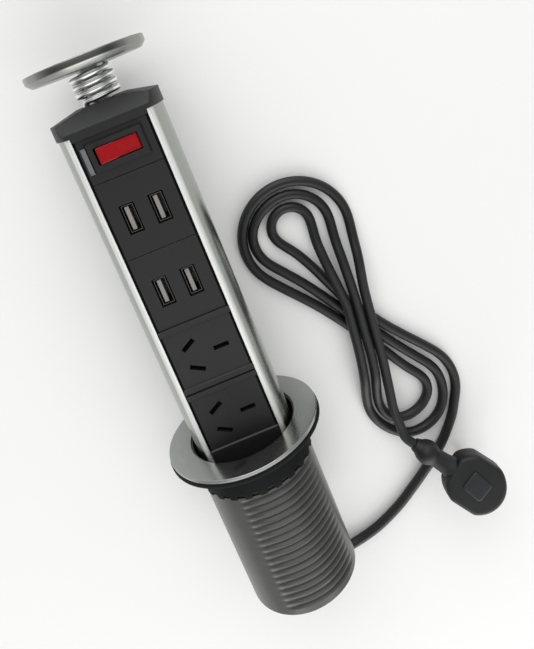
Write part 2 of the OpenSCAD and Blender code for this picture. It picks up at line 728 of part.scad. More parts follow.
module lid() {
  edge = 0.6;
  color([0.75, 0.77, 0.76]) laid() difference() {
    rotate_extrude() polygon([[0, z_lid], [lid_r - lid_bevel, z_lid], [lid_r, z_lid + lid_bevel],
      [lid_r, z_lid + lid_t - edge], [lid_r - edge, z_lid + lid_t], [0, z_lid + lid_t]]);
    rotate(spring_a + 360 * spring_turns + 2 * bend_turn) translate([spring_r, 0, z_lid - 1])
      cylinder(r = leg_hole_r, h = leg_in + 1);
  }
}

module lid_stem() {
  color([0.6, 0.61, 0.62]) laid() rotate_extrude() polygon([
    [0, z_stem], [stem_r - 0.5, z_stem], [stem_r, z_stem + 0.5], [stem_r, z_clip - 0.1],
    [groove_r, z_clip - 0.1], [groove_r, z_clip + clip_t + 0.1], [stem_r, z_clip + clip_t + 0.1],
    [stem_r, z_lid], [0, z_lid]]);
}

module stem_clip() {
  color([0.3, 0.3, 0.32]) laid() difference() {
    ring(groove_r + glue_gap, clip_r, z_clip, z_clip + clip_t);
    box(-2.5, 2.5, 0, clip_r + 1, z_clip - 1, z_clip + clip_t + 1);
  }
}

// Spring centre line, as angle, height pairs turned into points
function coil(a, z) = [spring_r * cos(spring_a + a), spring_r * sin(spring_a + a), z];
curl_a = 360 * spring_turns;
spring_path = concat(
  [coil(0, z_cap_top - leg_in), coil(0, z_cap_top)],
  [for (q = [30, 60]) coil(bend_turn * (1 - cos(q)), z_cap_top + leg_bend * sin(q))],
  [for (i = [0:8 * spring_turns])
    coil(bend_turn + curl_a * i / (8 * spring_turns), curl_from + (curl_to - curl_from) * i / (8 * spring_turns))],
  [for (q = [60, 30]) coil(curl_a + bend_turn * (1 + cos(q)), z_lid - leg_bend * sin(q))],
  [coil(curl_a + 2 * bend_turn, z_lid), coil(curl_a + 2 * bend_turn, z_lid + leg_in)]);
spring_up = [for (p = spring_path) [p[0], p[1], 0] / spring_r];
spring_gap = least_gap(refine(spring_path, 6), 30) - spring_wire;
echo(spring_gap = spring_gap);

module lid_spring()
  color([0.85, 0.86, 0.87]) laid() tube(spring_path, spring_up, spring_wire / 2, 6);

// Cord and plug

module cord_lead()
  color([0.12, 0.12, 0.125]) tube(lead_path, level(lead_path), cord_d / 2, 8);

module cord_hank()
  color([0.12, 0.12, 0.125]) tube(hank_path, level(hank_path), cord_d / 2, 6);

module cord_tail()
  color([0.12, 0.12, 0.125]) tube(tail_path, level(tail_path), cord_d / 2, 8);

// Frame of the plug: X towards the boot, Z towards its back
module at_plug()
  translate([plug_at[0], plug_at[1], plug_z]) rotate(plug_face) rotate([0, plug_lean, 0]) rotate(plug_turn) children();

module plug_body() {
  edge = 3;
  pad = 12;
  back = plug_t / 2;
  color([0.1, 0.1, 0.105]) at_plug() {
    difference() {
      rotate_extrude() polygon([[0, -back], [plug_r - 1, -back], [plug_r, 1 - back],
        [plug_r, back - edge], [plug_r - edge, back], [0, back]]);
      for (s = [-1, 1]) translate([-plug_r, s * (plug_r + 3.6) - 5, -plug_t]) cube([2 * plug_r, 10, 2 * plug_t]);
      translate([boot_from, -plug_r, -plug_t]) cube([10, 2 * plug_r, 2 * plug_t]);
    }
    translate([0, 0, back - 0.01]) rotate(45) translate([-pad / 2, -pad / 2, 0]) cube([pad, pad, 0.81]);
  }
}

module plug_boot() {
  neck = 5.2;
  bulb_at = 30;
  bulb_r = bulb_d / 2;
  edge = asin(neck / bulb_r);
  color([0.1, 0.1, 0.105]) at_plug() rotate([0, 90, 0]) rotate_extrude()
    polygon(concat(
      [[0, boot_from], [neck + 0.8, boot_from]],
      [for (i = [0:8]) let(a = 180 - edge - (180 - 2 * edge) * i / 8)
        [bulb_r * sin(a), bulb_at + bulb_r * cos(a)]],
      [[cord_d / 2 + 1, boot_to], [0, boot_to]]));
}

module plug_pins() {
  color([0.8, 0.72, 0.45]) at_plug() translate([0, 0, -plug_t / 2 - pin_l]) {
    for (s = [-1, 1]) translate([3.96, s * slot_spread / 2, 0]) rotate(-30 * s)
      translate([-pin_w / 2, -pin_t / 2, 0]) cube([pin_w, pin_t, pin_l]);
    translate([3.96 - slot_earth, 0, 0]) translate([-pin_w / 2, -pin_t / 2, 0]) cube([pin_w, pin_t, pin_l]);
  }
}

barrel();
head_collar();
flange_ring();
gasket();
guide_bush();
guide_pads();
tower_profile();
top_cap();
cap_screws();
bottom_cap();
foot_screws();
switch_plate();
switch_body();
rocker();
usb_plate_1();
usb_plate_2();
usb_shells_1();
usb_shells_2();
usb_tongues_1();
usb_tongues_2();
usb_board_1();
usb_board_2();
outlet_plate_1();
outlet_plate_2();
outlet_housing_1();
outlet_housing_2();
outlet_contacts_1();
outlet_contacts_2();
blank_plate();
lid();
lid_stem();
stem_clip();
lid_spring();
cord_gland();
wire_loom();
cord_lead();
cord_hank();
cord_tail();
plug_boot();
plug_body();
plug_pins();
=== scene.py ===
# %% [markdown]
# # A pull-up desk power tower and its cord
# The part lies on its back on a pale table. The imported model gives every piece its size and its
# place; this lesson dresses it. A turned or swept piece is worked out again as a smooth surface,
# and a flat moulded piece keeps its own solid, with its edges softened and a better finish.

# %% Load the frame and keep its size
from math import asin, cos, radians, sin
import bmesh
import bpy
import numpy as np
from mathutils.geometry import tessellate_polygon
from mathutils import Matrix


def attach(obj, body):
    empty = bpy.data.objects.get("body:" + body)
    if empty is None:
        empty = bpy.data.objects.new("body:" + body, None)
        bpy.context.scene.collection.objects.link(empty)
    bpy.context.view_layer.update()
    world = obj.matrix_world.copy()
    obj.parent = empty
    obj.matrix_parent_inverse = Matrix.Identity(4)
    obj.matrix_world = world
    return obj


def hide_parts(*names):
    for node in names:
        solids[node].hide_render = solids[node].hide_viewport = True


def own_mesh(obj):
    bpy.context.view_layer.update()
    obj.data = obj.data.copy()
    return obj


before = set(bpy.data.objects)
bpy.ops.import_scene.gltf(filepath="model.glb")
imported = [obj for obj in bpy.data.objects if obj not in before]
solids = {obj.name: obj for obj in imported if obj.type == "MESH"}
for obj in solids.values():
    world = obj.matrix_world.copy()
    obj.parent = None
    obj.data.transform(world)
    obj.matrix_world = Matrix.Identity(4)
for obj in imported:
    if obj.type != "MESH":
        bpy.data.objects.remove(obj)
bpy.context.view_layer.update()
MM = 0.001

# %% [markdown]
# ## Camera
# The photograph was taken from about 30 cm above the lid end, so the tower widens towards the
# camera. A camera could be turned by eye until the picture looks right, but so near a view shows
# every error. Its place, turn and focal length were solved instead from points whose real size is
# known: the ports, the outlet slots and the rims of the flange.

# %% Camera at the photograph's viewing angle
# In pixels: the picture's size, its focal length and the point where the lens axis meets it.
WIDTH, HEIGHT = 534, 649
FOCAL = 648.0
AXIS_AT = (218.0, 180.0)
# In metres and degrees: where the camera stands and how it is turned.
CAMERA_AT = (0.0324, 0.1893, 0.2998)
CAMERA_TURN = (-10.82, -4.96, -21.62)
lens = bpy.data.cameras.new("camera")
lens.sensor_width = 36.0
lens.lens = FOCAL / HEIGHT * lens.sensor_width
lens.shift_x = (WIDTH / 2 - AXIS_AT[0]) / HEIGHT
lens.shift_y = (AXIS_AT[1] - HEIGHT / 2) / HEIGHT
lens.clip_start = 0.02
camera = bpy.data.objects.new("camera", lens)
camera.location = CAMERA_AT
camera.rotation_euler = [radians(angle) for angle in CAMERA_TURN]
bpy.context.collection.objects.link(camera)
bpy.context.scene.camera = camera
bpy.context.scene.view_settings.view_transform = "Standard"
print("camera: lens", round(lens.lens, 2), "shift", round(lens.shift_x, 4), round(lens.shift_y, 4))

# %% [markdown]
# ## Small tools
# A few tools serve the whole lesson. One turns a paint chart's hex colour into the linear light
# values that the renderer adds up. One adds a shader node with its settings and links. One puts
# computed points and faces into a mesh and hangs it on the body of the part that carries it.

# %% Colours and shader nodes
def linear(code):
    """Linear colour of an sRGB hex code: c / 12.92 near black, ((c + 0.055) / 1.055)^2.4 above."""
    c = np.array([int(code[i:i + 2], 16) for i in (1, 3, 5)]) / 255
    return (*np.where(c <= 0.04045, c / 12.92, ((c + 0.055) / 1.055) ** 2.4).tolist(), 1.0)


def add(tree, kind, values=None, links=None, **settings):
    """Adds one node: settings on the node, values on its sockets, links into its sockets."""
    made = tree.nodes.new(kind)
    for key, value in settings.items():
        setattr(made, key, value)
    for key, value in (values or {}).items():
        made.inputs[key].default_value = value
    for key, socket in (links or {}).items():
        tree.links.new(socket, made.inputs[key])
    return made


def finish(name, colour, **values):
    """A material with one Principled shader: its node tree, that shader and the Object coordinates."""
    made = bpy.data.materials.new(name)
    made.use_nodes = True
    tree = made.node_tree
    shader = tree.nodes["Principled BSDF"]
    shader.inputs["Base Color"].default_value = linear(colour)
    for key, value in values.items():
        shader.inputs[key.replace("_", " ")].default_value = value
    place = add(tree, "ShaderNodeTexCoord")
    print("finish:", name)
    return made, tree, shader, place.outputs["Object"]


# %% Meshes from arrays
# In metres: points closer than this are merged, and faces thinner than this are taken out.
MERGE, THIN = 2e-6, 1e-7


def quads(grid, close_rows=False, close_columns=False):
    """Corner numbers of the faces of a grid of points; a closed side joins its last line to its first."""
    rows, columns = grid.shape[:2]
    i = np.arange(rows if close_rows else rows - 1)[:, None]
    j = np.arange(columns if close_columns else columns - 1)[None, :]
    i2, j2 = (i + 1) % rows, (j + 1) % columns
    corners = [i * columns + j, i * columns + j2, i2 * columns + j2, i2 * columns + j]
    return np.stack(corners, -1).reshape(-1, 4)


def put(name, points, faces, material, body, *stands_for, crease=38.0):
    """Makes the mesh from points in millimetres, closes its seams and poles, turns its faces outwards."""
    mesh = bpy.data.meshes.new(name)
    places = (np.asarray(points).reshape(-1, 3) * MM).tolist()
    mesh.from_pydata(places, [], [list(map(int, face)) for face in faces])
    shell = bmesh.new()
    shell.from_mesh(mesh)
    bmesh.ops.remove_doubles(shell, verts=shell.verts, dist=MERGE)
    bmesh.ops.dissolve_degenerate(shell, edges=shell.edges, dist=THIN)
    bmesh.ops.recalc_face_normals(shell, faces=shell.faces)
    shell.to_mesh(mesh)
    shell.free()
    mesh.polygons.foreach_set("use_smooth", np.ones(len(mesh.polygons), bool))
    mesh.set_sharp_from_angle(angle=radians(crease))
    mesh.materials.append(material)
    piece = bpy.data.objects.new(name, mesh)
    bpy.context.collection.objects.link(piece)
    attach(piece, body)
    if stands_for:
        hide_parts(*stands_for)
    print(f"{name}: {len(mesh.polygons)} faces on {body}")
    return piece


# %% [markdown]
# ## The cord's rubbery PVC
# The cord is round flexible PVC, black, with a soft satin skin. One even roughness would look like
# fresh paint. Handling leaves patches that shine more than others, and the skin has a fine grain,
# so both are noise of a real size in millimetres. Most of the part's plastics are made this way.

# %% Extruded cord PVC
def patchy(tree, shader, place, size_mm, low, high, detail=4.0):
    """Shine in soft patches of one size: noise read as a roughness between low and high."""
    patches = add(tree, "ShaderNodeTexNoise", {"Scale": 1 / (size_mm * MM), "Detail": detail},
                  {"Vector": place})
    shine = add(tree, "ShaderNodeMapRange", {"To Min": low, "To Max": high},
                {"Value": patches.outputs["Fac"]})
    tree.links.new(shine.outputs["Result"], shader.inputs["Roughness"])


def pebbled(tree, shader, place, size_mm, strength, depth_mm, detail=2.0):
    """Fine pebble in the normal: noise of one size read as a height of a depth in millimetres."""
    grain = add(tree, "ShaderNodeTexNoise", {"Scale": 1 / (size_mm * MM), "Detail": detail},
                {"Vector": place})
    bump = add(tree, "ShaderNodeBump", {"Strength": strength, "Distance": depth_mm * MM},
               {"Height": grain.outputs["Fac"]})
    tree.links.new(bump.outputs["Normal"], shader.inputs["Normal"])


cord_pvc, tree, shader, place = finish("cord PVC, extruded satin black", "#0E0F10")
# Patches of 25 mm where fingers polished the skin: the eye sees the shine change slowly along the cord.
patchy(tree, shader, place, 25, 0.4, 0.6, detail=3.0)
# Skin grain of about 0.15 mm, drawn at 0.6 mm because the finer one would not show.
pebbled(tree, shader, place, 0.6, 0.25, 0.05)

# %% [markdown]
# ## The cord's route
# The cord leaves the gland at the foot of the tower, comes down on the table, and is laid
# in a figure of eight: three rising strands flat on the table, and falling strands that climb
# over them. A curve object could follow hand points, but arcs and straight crossings keep the
# strands evenly apart, as a wound cord is, so the route is worked out from two centres.

# %% Sizes of the hank
CORD_D = 5.5
TABLE = -40.4
CORD_Z = TABLE + CORD_D / 2
# The hank's middle on the table, its lean, and how far above and below the middle its loops' centres lie.
MID = np.array([79.2, 9.3])
LEAN = radians(13)
UP, LOW = 66.0, 52.0
# The inner fold's radius, the distance between strands, and the outer turn's radius.
FOLD, STEP = 17.0, CORD_D + 1
OUTER = FOLD + 2 * STEP
# How high a falling strand climbs, how far down it starts to, and over what length.
HUMP, CLIMB_FROM, CLIMB = CORD_D + 0.8, 4.0, 20.0
# The strands lean from loop to loop as a crossed belt does between two pulleys.
RISE = asin(2 * (FOLD + STEP) / (UP + LOW))
FALL = asin((2 * FOLD + STEP) / (UP + LOW))
FALL_L = (UP + LOW) * cos(FALL)
print(f"hank: strands {STEP} mm apart, loops {UP + LOW} mm apart")

# %% Arcs and straights of the hank
# Points on each arc or straight.
POINTS = 40


def ease(t):
    """Smooth step: t held between 0 and 1, then t^2 (3 - 2 t)."""
    t = np.clip(t, 0, 1)
    return t**2 * (3 - 2 * t)


def on_table(u, v, h=0.0):
    """Point of the hank: u across and v along it, turned by its lean about its middle, and lifted by h."""
    u, v, h = np.broadcast_arrays(u, v, h)
    x = MID[0] + u * cos(LEAN) - v * sin(LEAN)
    y = MID[1] + u * sin(LEAN) + v * cos(LEAN)
    return np.stack([x, y, CORD_Z + h], -1)


def upper(r):
    """Arc of radius r over the upper centre, from a rising strand to a falling one."""
    a = np.linspace(np.pi + RISE, -FALL, POINTS)
    return on_table(r * np.cos(a), UP + r * np.sin(a))


def lower(r, start=np.pi - FALL):
    """Arc of radius r round the lower centre, from a falling strand, or a start angle, to a rising one."""
    a = np.linspace(start, 2 * np.pi + RISE if start > 0 else RISE, POINTS)
    return on_table(r * np.cos(a), -LOW + r * np.sin(a))


def falling(r, end):
    """Straight strand down from the upper arc; smooth steps lift it over the rising ones by one hump."""
    s = np.linspace(0.1 * FALL_L, end, POINTS)
    lift = HUMP * ease((s - CLIMB_FROM) / CLIMB) * ease((FALL_L - s) / CLIMB)
    return on_table(r * cos(FALL) - s * sin(FALL), UP - r * sin(FALL) - s * cos(FALL), lift)


# %% Three turns
# The falling strands stop a tenth short of the lower loop; the last one leaves for the plug still earlier.
NEARLY, LAST_L = 0.9 * FALL_L, 88.0
first = lower(OUTER, radians(-40))
last = falling(OUTER, LAST_L)
hank = np.vstack([
    first, upper(FOLD), falling(FOLD, NEARLY), lower(FOLD + STEP), upper(FOLD + STEP),
    falling(FOLD + STEP, NEARLY), lower(FOLD), upper(OUTER)])
print("hank:", len(hank), "points before it is loosened")

# %% The plug's own frame
# The plug's radius and thickness and its boot's reach, then its pins' length and how far out they stand.
PLUG_R, PLUG_T, BOOT_TO = 16.5, 14.0, 38.0
PIN_L, PIN_OUT = 17.0, 5.86
# The way that the plug faces on the table, how far it tips over, and its turn about its own axis.
FACE, TIP, TURN = radians(104.5), radians(18), radians(22.5)
# The plug stands on the tips of its pins, so their length and place give the height of its middle.
PLUG_AT = np.array([106.0, -95.3, TABLE + (PLUG_T / 2 + PIN_L) * cos(TIP) + PIN_OUT * sin(TIP)])


def spin(a, b, angle):
    """Rotation by an angle that carries axis a towards axis b."""
    m = np.eye(3)
    m[[a, b], [a, b]] = cos(angle)
    m[a, b], m[b, a] = -sin(angle), sin(angle)
    return m


PLUG_TURN = spin(0, 1, FACE) @ spin(2, 0, TIP) @ spin(0, 1, TURN)


def in_plug(points):
    """Carries points from the plug's frame (X along its boot, Z out of its back) into the part's frame."""
    return np.asarray(points) @ PLUG_TURN.T + PLUG_AT


boot_way = PLUG_TURN @ [1, 0, 0]
boot_end = in_plug([BOOT_TO, 0, 0])
print("plug centre", PLUG_AT.round(1), "boot end", boot_end.round(1))

# %% Lead from the tower, and tail to the plug
# Where the cord leaves the gland.
EXIT = np.array([0.0, -78.3, -8.0])


def through(points, steps=16):
    """Smooth curve through points: each stretch blends four neighbours by cubic weights (Catmull-Rom)."""
    p = np.asarray(points, float)
    t = np.linspace(0, 1, steps, endpoint=False)[None, :, None]
    a, b, c, d = p[:-3, None], p[1:-2, None], p[2:-1, None], p[3:, None]
    curve = 0.5 * (2 * b + (c - a) * t + (2 * a - 5 * b + 4 * c - d) * t**2 + (3 * b - a - 3 * c + d) * t**3)
    return np.vstack([curve.reshape(-1, 3), p[-2]])


start_way = (first[1] - first[0]) / np.linalg.norm(first[1] - first[0])
end_way = (last[-1] - last[-2]) / np.linalg.norm(last[-1] - last[-2])
lead = through([
    EXIT + [0, CORD_D, 0], EXIT, EXIT - [0, 1.2 * CORD_D, 0],
    [1.5, -98, CORD_Z + 24], [6, -110, CORD_Z + 15], [15, -118.8, CORD_Z + 6], [28.5, -122.4, CORD_Z + 0.6],
    [45.5, -118.8, CORD_Z], [62, -111, CORD_Z], [75.3, -102, CORD_Z], [86, -94, CORD_Z], [95, -86.7, CORD_Z],
    [103.5, -77.8, CORD_Z], first[0] - 13 * start_way, first[0] - CORD_D * start_way, first[0],
    first[0] + CORD_D * start_way])
tail = through([
    last[-1] - CORD_D * end_way, last[-1],
    [81.4, -31, CORD_Z + 6.8], [79.6, -44, CORD_Z + 7.4], [80, -55.5, CORD_Z + 8.3],
    boot_end + 1.2 * CORD_D * boot_way, boot_end, boot_end - CORD_D * boot_way])
print("lead:", len(lead), "points, tail:", len(tail), "points")

# %% [markdown]
# ## Turns as a hand leaves them
# A machine would leave the turns evenly apart. A hand pulls the crossing tight and lets the inner
# turns fall open. Points could be dragged one by one, but then strands soon run into each other.
# Here every strand moves by one rule, from its distance inside the outer turn, so they stay apart.

# %% Even steps, and the way out of a loop
def even(line, step):
    """The same line with points a step apart: each coordinate read off against the length walked so far."""
    walked = np.concatenate([[0], np.cumsum(np.linalg.norm(np.diff(line, axis=0), axis=1))])
    at = np.linspace(0, walked[-1], int(round(walked[-1] / step)) + 1)
    return np.stack([np.interp(at, walked, line[:, k]) for k in range(3)], -1)


def out_of_loop(at, top):
    """Distance and way out of a loop's centre: square to a strand beside it, else along the radius."""
    u, v = at.T
    sign = np.where(top, -1, 1)
    strands = ((-1, np.where(top, RISE, FALL)), (1, np.where(top, FALL, RISE)))
    ways = [np.stack([side * np.cos(lean), sign * np.sin(lean)], -1) for side, lean in strands]
    far = [(way * at).sum(1) for way in ways]
    beside = [sign * v * np.cos(lean) > side * u * np.sin(lean) for side, lean in strands]
    left, right = beside[0] & (far[0] > far[1]), beside[1] & (far[1] >= far[0])
    radius = np.linalg.norm(at, axis=1)
    way = np.select([left[:, None], right[:, None]], ways, at / radius[:, None])
    return np.select([left, right], far, radius), way


# %% Loosened turns
# How far the crossing lies above the middle, how far from it nothing opens, and over what length it begins.
CROSSING, CALM, SPREAD = 7.0, 6.0, 40.0
# How far inner turns open, how much the crossing is drawn in, and the share that carries the upper loop up.
OPENING, DRAWN_IN, LIFTED = 0.45, 0.125, 0.66
# In the lower loop the opening grows to this share, from none at the left of its middle to its right.
LOWER_SHARE, LOWER_HALF = 0.6, 12.0
# How far the middle turn lies askew in the upper loop, and the length over which that and the sag come in.
ASKEW, OVER = 6.0, 20.0


def loosen(line, opening):
    """A strand d inside the outer turn goes to d (1 + opening w), with w eased from 0 at the crossing to 1
    in the loops, and the crossing is drawn in by a share of its width."""
    x, y = line[:, 0] - MID[0], line[:, 1] - MID[1]
    u, v = x * cos(LEAN) + y * sin(LEAN), y * cos(LEAN) - x * sin(LEAN)
    w = ease((np.abs(v - CROSSING) - CALM) / SPREAD)
    top = v > CROSSING
    v = v - np.where(top, UP, -LOW)
    at = np.stack([u, v], -1)
    r, way = out_of_loop(at, top)
    share = np.where(top, 1, LOWER_SHARE * np.clip((u + LOWER_HALF) / (2 * LOWER_HALF), 0, 1))
    inside = (OUTER - r) * (1 + opening * share * w)
    at = at + way * (OUTER - inside - r)[:, None]
    # The middle turn slips to the left in the upper loop, and the inner turns sag in the lower one.
    middle = np.abs(r - FOLD - STEP) < 0.4 * STEP
    askew = np.where(top & middle, ASKEW * opening * w * np.clip(-u / OVER, 0, 1), 0)
    inner = np.where(r < FOLD + 1.5 * STEP, 2 * (r - FOLD - STEP / 2), 0)
    sag = opening * inner * np.clip(-v / OVER, 0, 1) ** 2
    along = np.where(top, UP + LIFTED * opening * w * inside, -LOW - sag)
    return on_table((at[:, 0] - askew) * (1 - DRAWN_IN * (1 - w)), at[:, 1] + along, line[:, 2] - CORD_Z)


FINE = 0.8
laid = np.vstack([lead, loosen(even(hank, FINE), OPENING)[1:], loosen(last, 0.0), tail[1:]])
print("laid:", len(laid), "points from the tower to the plug")

# %% One centre line, with its kinks taken out
# A bell-shaped average over a few points each side rounds off the joints between the stretches.
BLUR, PACE = 8, 1.6
fine = even(laid, FINE)
weights = np.exp(-0.5 * (np.arange(-BLUR, BLUR + 1) / (0.4 * BLUR)) ** 2)
weights /= weights.sum()
padded = np.vstack([2 * fine[0] - fine[BLUR:0:-1], fine, 2 * fine[-1] - fine[-2:-2 - BLUR:-1]])
smooth = np.stack([np.convolve(padded[:, k], weights, "valid") for k in range(3)], -1)
route = even(smooth, PACE)


# %% Cord as one tube
def tube(line, radius, sides, up):
    """Circle of a radius carried along a line: side = way x up, lift = side x way, ends closed to a point."""
    way = np.gradient(line, axis=0)
    way /= np.linalg.norm(way, axis=1)[:, None]
    side = np.cross(way, up)
    side /= np.linalg.norm(side, axis=1)[:, None]
    lift = np.cross(side, way)
    radius = np.broadcast_to(radius, len(line))[:, None, None]
    a = np.linspace(0, 2 * np.pi, sides, endpoint=False)[None, :, None]
    ring = line[:, None] + radius * (np.cos(a) * side[:, None] + np.sin(a) * lift[:, None])
    return np.concatenate([ring[:1] * 0 + line[0], ring, ring[:1] * 0 + line[-1]])


Z_AXIS = (0.0, 0.0, 1.0)
skin = tube(route, CORD_D / 2, 16, Z_AXIS)
cord = put("cord", skin, quads(skin, close_columns=True), cord_pvc, "tower",
           "cord_lead", "cord_hank", "cord_tail")

# %% [markdown]
# ## The plug
# The plug is a flat round moulding of the same PVC, tipped over on its pins so that its back looks
# up. Its outline is a circle with flats where the fingers hold it. It could be cut from a cylinder,
# but a soft minimum of the distances to the circle and to each flat gives that outline with its
# corners already rounded.

# %% Moulded plug PVC
plug_pvc, tree, shader, place = finish("plug PVC, moulded with a fine texture", "#0E0F11")
# Handling dulls it in patches of 9 mm. The mould is etched at about 0.2 mm, drawn at 0.7 mm so that it
# shows: it breaks the highlight up.
patchy(tree, shader, place, 9, 0.42, 0.66)
pebbled(tree, shader, place, 0.7, 0.35, 0.06)


# %% Rounded corners and a soft minimum
def soften(corners, radius, steps=6, closed=True):
    """Rounds a line's corners: corner p becomes (1-s)^2 (p + t u) + 2 s (1-s) p + s^2 (p + t v), where u and
    v point to its neighbours and t is its radius."""
    p = np.asarray(corners, float)
    to_last, to_next = np.roll(p, 1, 0) - p, np.roll(p, -1, 0) - p
    a, b = np.linalg.norm(to_last, axis=1), np.linalg.norm(to_next, axis=1)
    # A rounding takes at most just under half of a side, so that two never meet.
    reach = np.minimum(np.broadcast_to(radius, len(p)), 0.48 * np.minimum(a, b))[:, None, None]
    if not closed:
        reach = reach.copy()
        reach[[0, -1]] = 0
    s = np.linspace(0, 1, steps)[None, :, None]
    u, v, q = (to_last / a[:, None])[:, None], (to_next / b[:, None])[:, None], p[:, None]
    curve = (1 - s) ** 2 * (q + reach * u) + 2 * s * (1 - s) * q + s**2 * (q + reach * v)
    curve = curve.reshape(-1, p.shape[1])
    return curve[np.linalg.norm(curve - np.roll(curve, 1, 0), axis=1) > 1e-6]


def soft_least(*values, sharp):
    """Soft minimum: -log(sum(exp(-k v))) / k, close to the least value and round where two meet."""
    stack = np.stack(np.broadcast_arrays(*values))
    least = stack.min(0)
    return least - np.log(np.exp(-sharp * (stack - least)).sum(0)) / sharp


# %% Plug body
# From the middle: the two flats that fingers hold, and the flat that the boot comes out of.
GRIP, MOUTH = 15.1, 14.9
# The soft minimum takes a little off the circle, which is given back. The back is domed by a trace.
GIVEN_BACK, DOME = 0.12, 0.25
BACK_EDGE, PIN_EDGE = 3.6, 1.3
half = PLUG_T / 2
angle = np.linspace(0, 2 * np.pi, 144, endpoint=False)[:, None]
flats = GRIP / np.maximum(np.abs(np.sin(angle)), 1e-3)
mouth = MOUTH / np.maximum(np.cos(angle), 0.05)
outline = soft_least(PLUG_R + GIVEN_BACK, flats, mouth, sharp=5.0)
side = soften([[PLUG_R, half], [0, half], [0, -half], [PLUG_R, -half]],
              [0, BACK_EDGE, PIN_EDGE, 0], 8, closed=False)
inset, height = side[:, 0][None, :], side[:, 1][None, :]
radius = outline * (1 - inset / PLUG_R)
height = height - np.where(height > half - 0.1, DOME * (radius / PLUG_R) ** 2, 0)
body = np.stack([radius * np.cos(angle), radius * np.sin(angle), height + 0 * radius], -1)
plug = put("plug_moulding", in_plug(body), quads(body, close_rows=True), plug_pvc, "tower", crease=50)

# %% Polished pad PVC
pad_pvc, tree, shader, place = finish("plug pad PVC, moulded against polished steel", "#1F2224")
# The pad is coloured a shade paler than the etched skin round it, and its roughness is lower.
patchy(tree, shader, place, 4, 0.32, 0.52)

# %% Raised pad of the plug
# A square with round corners: its reach is the half width over (|cos a|^8 + |sin a|^8)^(1/8).
PAD_HALF, PAD_RISE, PAD_TURN, SQUARE = 6.0, 0.8, radians(83), 8
# From the middle to the edge and down into the plug: share of the half width, and share of the rise.
across = np.array([0.0, 0.5, 0.86, 0.93, 0.97, 1.0, 1.0])[None, :]
rise = PAD_RISE * np.array([1.0, 1.0, 1.0, 0.925, 0.75, 0.4375, -0.5])[None, :]
u = np.linspace(0, 2 * np.pi, 96, endpoint=False)[:, None]
reach = PAD_HALF * across / (np.abs(np.cos(u)) ** SQUARE + np.abs(np.sin(u)) ** SQUARE) ** (1 / SQUARE)
pad_skin = np.stack([reach * np.cos(u + PAD_TURN), reach * np.sin(u + PAD_TURN), half + rise + 0 * u], -1)
pad = put("plug_pad", in_plug(pad_skin), quads(pad_skin, close_rows=True), pad_pvc, "tower")

# %% Strain relief and bulb of the plug
# Distance along the boot and radius: a neck out of the plug, a round bulb, and a lip round the cord.
BULB_AT, BULB_R, NECK_R = 30.0, 7.0, 5.2
neck, lip = [[14.0, 6.4], [18.5, 5.6]], [[36.2, 4.25], [BOOT_TO, 3.7]]
bulb_edge = asin(NECK_R / BULB_R)
arc = np.linspace(np.pi - bulb_edge, bulb_edge, 14)
bulb = np.stack([BULB_AT + BULB_R * np.cos(arc), BULB_R * np.sin(arc)], -1)
relief = soften(np.vstack([neck, bulb, lip]), 0.9, 3, closed=False)
stations = np.stack([relief[:, 0], 0 * relief[:, 0], 0 * relief[:, 0]], -1)
boot_skin = tube(stations, relief[:, 1], 48, Z_AXIS)
boot = put("plug_relief", in_plug(boot_skin), quads(boot_skin, close_columns=True), plug_pvc, "tower",
           "plug_boot", crease=50)
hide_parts("plug_body")

# %% [markdown]
# ## Turned metal: flange ring and lid
# Both are turned on a lathe and left satin: a cutter draws fine rings round the axis, which smear
# each reflection outwards. A profile swept once round the tower axis is the whole shape, and the
# finish follows the same axis, so its rings come from the distance to it.

# %% Satin turned steel
def from_axis(tree, place):
    """Distance sqrt(x^2 + z^2) from the tower's axis, as a socket."""
    parts = add(tree, "ShaderNodeSeparateXYZ", links={"Vector": place})
    across = add(tree, "ShaderNodeCombineXYZ", links={"X": parts.outputs["X"], "Y": parts.outputs["Z"]})
    far = add(tree, "ShaderNodeVectorMath", links={0: across.outputs["Vector"]}, operation="LENGTH")
    return far.outputs["Value"]


def turned_metal(name, colour, low, high, ring_mm):
    """Metal whose shine changes in rings: noise read along the distance from the axis, times soft clouds."""
    made, tree, shader, place = finish(name, colour, Metallic=1.0)
    ring = add(tree, "ShaderNodeTexNoise", {"Scale": 1 / (ring_mm * MM), "Detail": 4.0},
               {"W": from_axis(tree, place)}, noise_dimensions="1D")
    cloud = add(tree, "ShaderNodeTexNoise", {"Scale": 1 / (14 * MM), "Detail": 3.0}, {"Vector": place})
    both = add(tree, "ShaderNodeMath", links={0: ring.outputs["Fac"], 1: cloud.outputs["Fac"]},
               operation="MULTIPLY")
    shine = add(tree, "ShaderNodeMapRange", {"From Max": 0.5, "To Min": low, "To Max": high},
                {"Value": both.outputs["Value"]})
    bump = add(tree, "ShaderNodeBump", {"Strength": 0.12, "Distance": 0.03 * MM},
               {"Height": ring.outputs["Fac"]})
    tree.links.new(shine.outputs["Result"], shader.inputs["Roughness"])
    tree.links.new(bump.outputs["Normal"], shader.inputs["Normal"])
    return made


# Tool marks of a lathe are about 0.1 mm apart; here 0.8 mm, so that a ring or two shows.
flange_steel = turned_metal("stainless steel, satin turned flange", "#A3A5A2", 0.16, 0.3, 0.8)
lid_steel = turned_metal("stainless steel, satin turned lid", "#8F918C", 0.2, 0.34, 0.8)

# %% Flange ring and lid
# Angles once round the tower's axis, for everything that is turned.
ROUND = np.linspace(0, 2 * np.pi, 160, endpoint=False)[:, None]
# Radii of the ring's hole, of its rim and of the rim's inner wall.
RING_IN, RING_OUT, RIM_IN = 28.0, 40.0, 38.1
# Heights of the rim's foot, of the seat and of the top.
RIM_LOW, SEAT, RING_TOP = 2.2, 3.2, 4.0
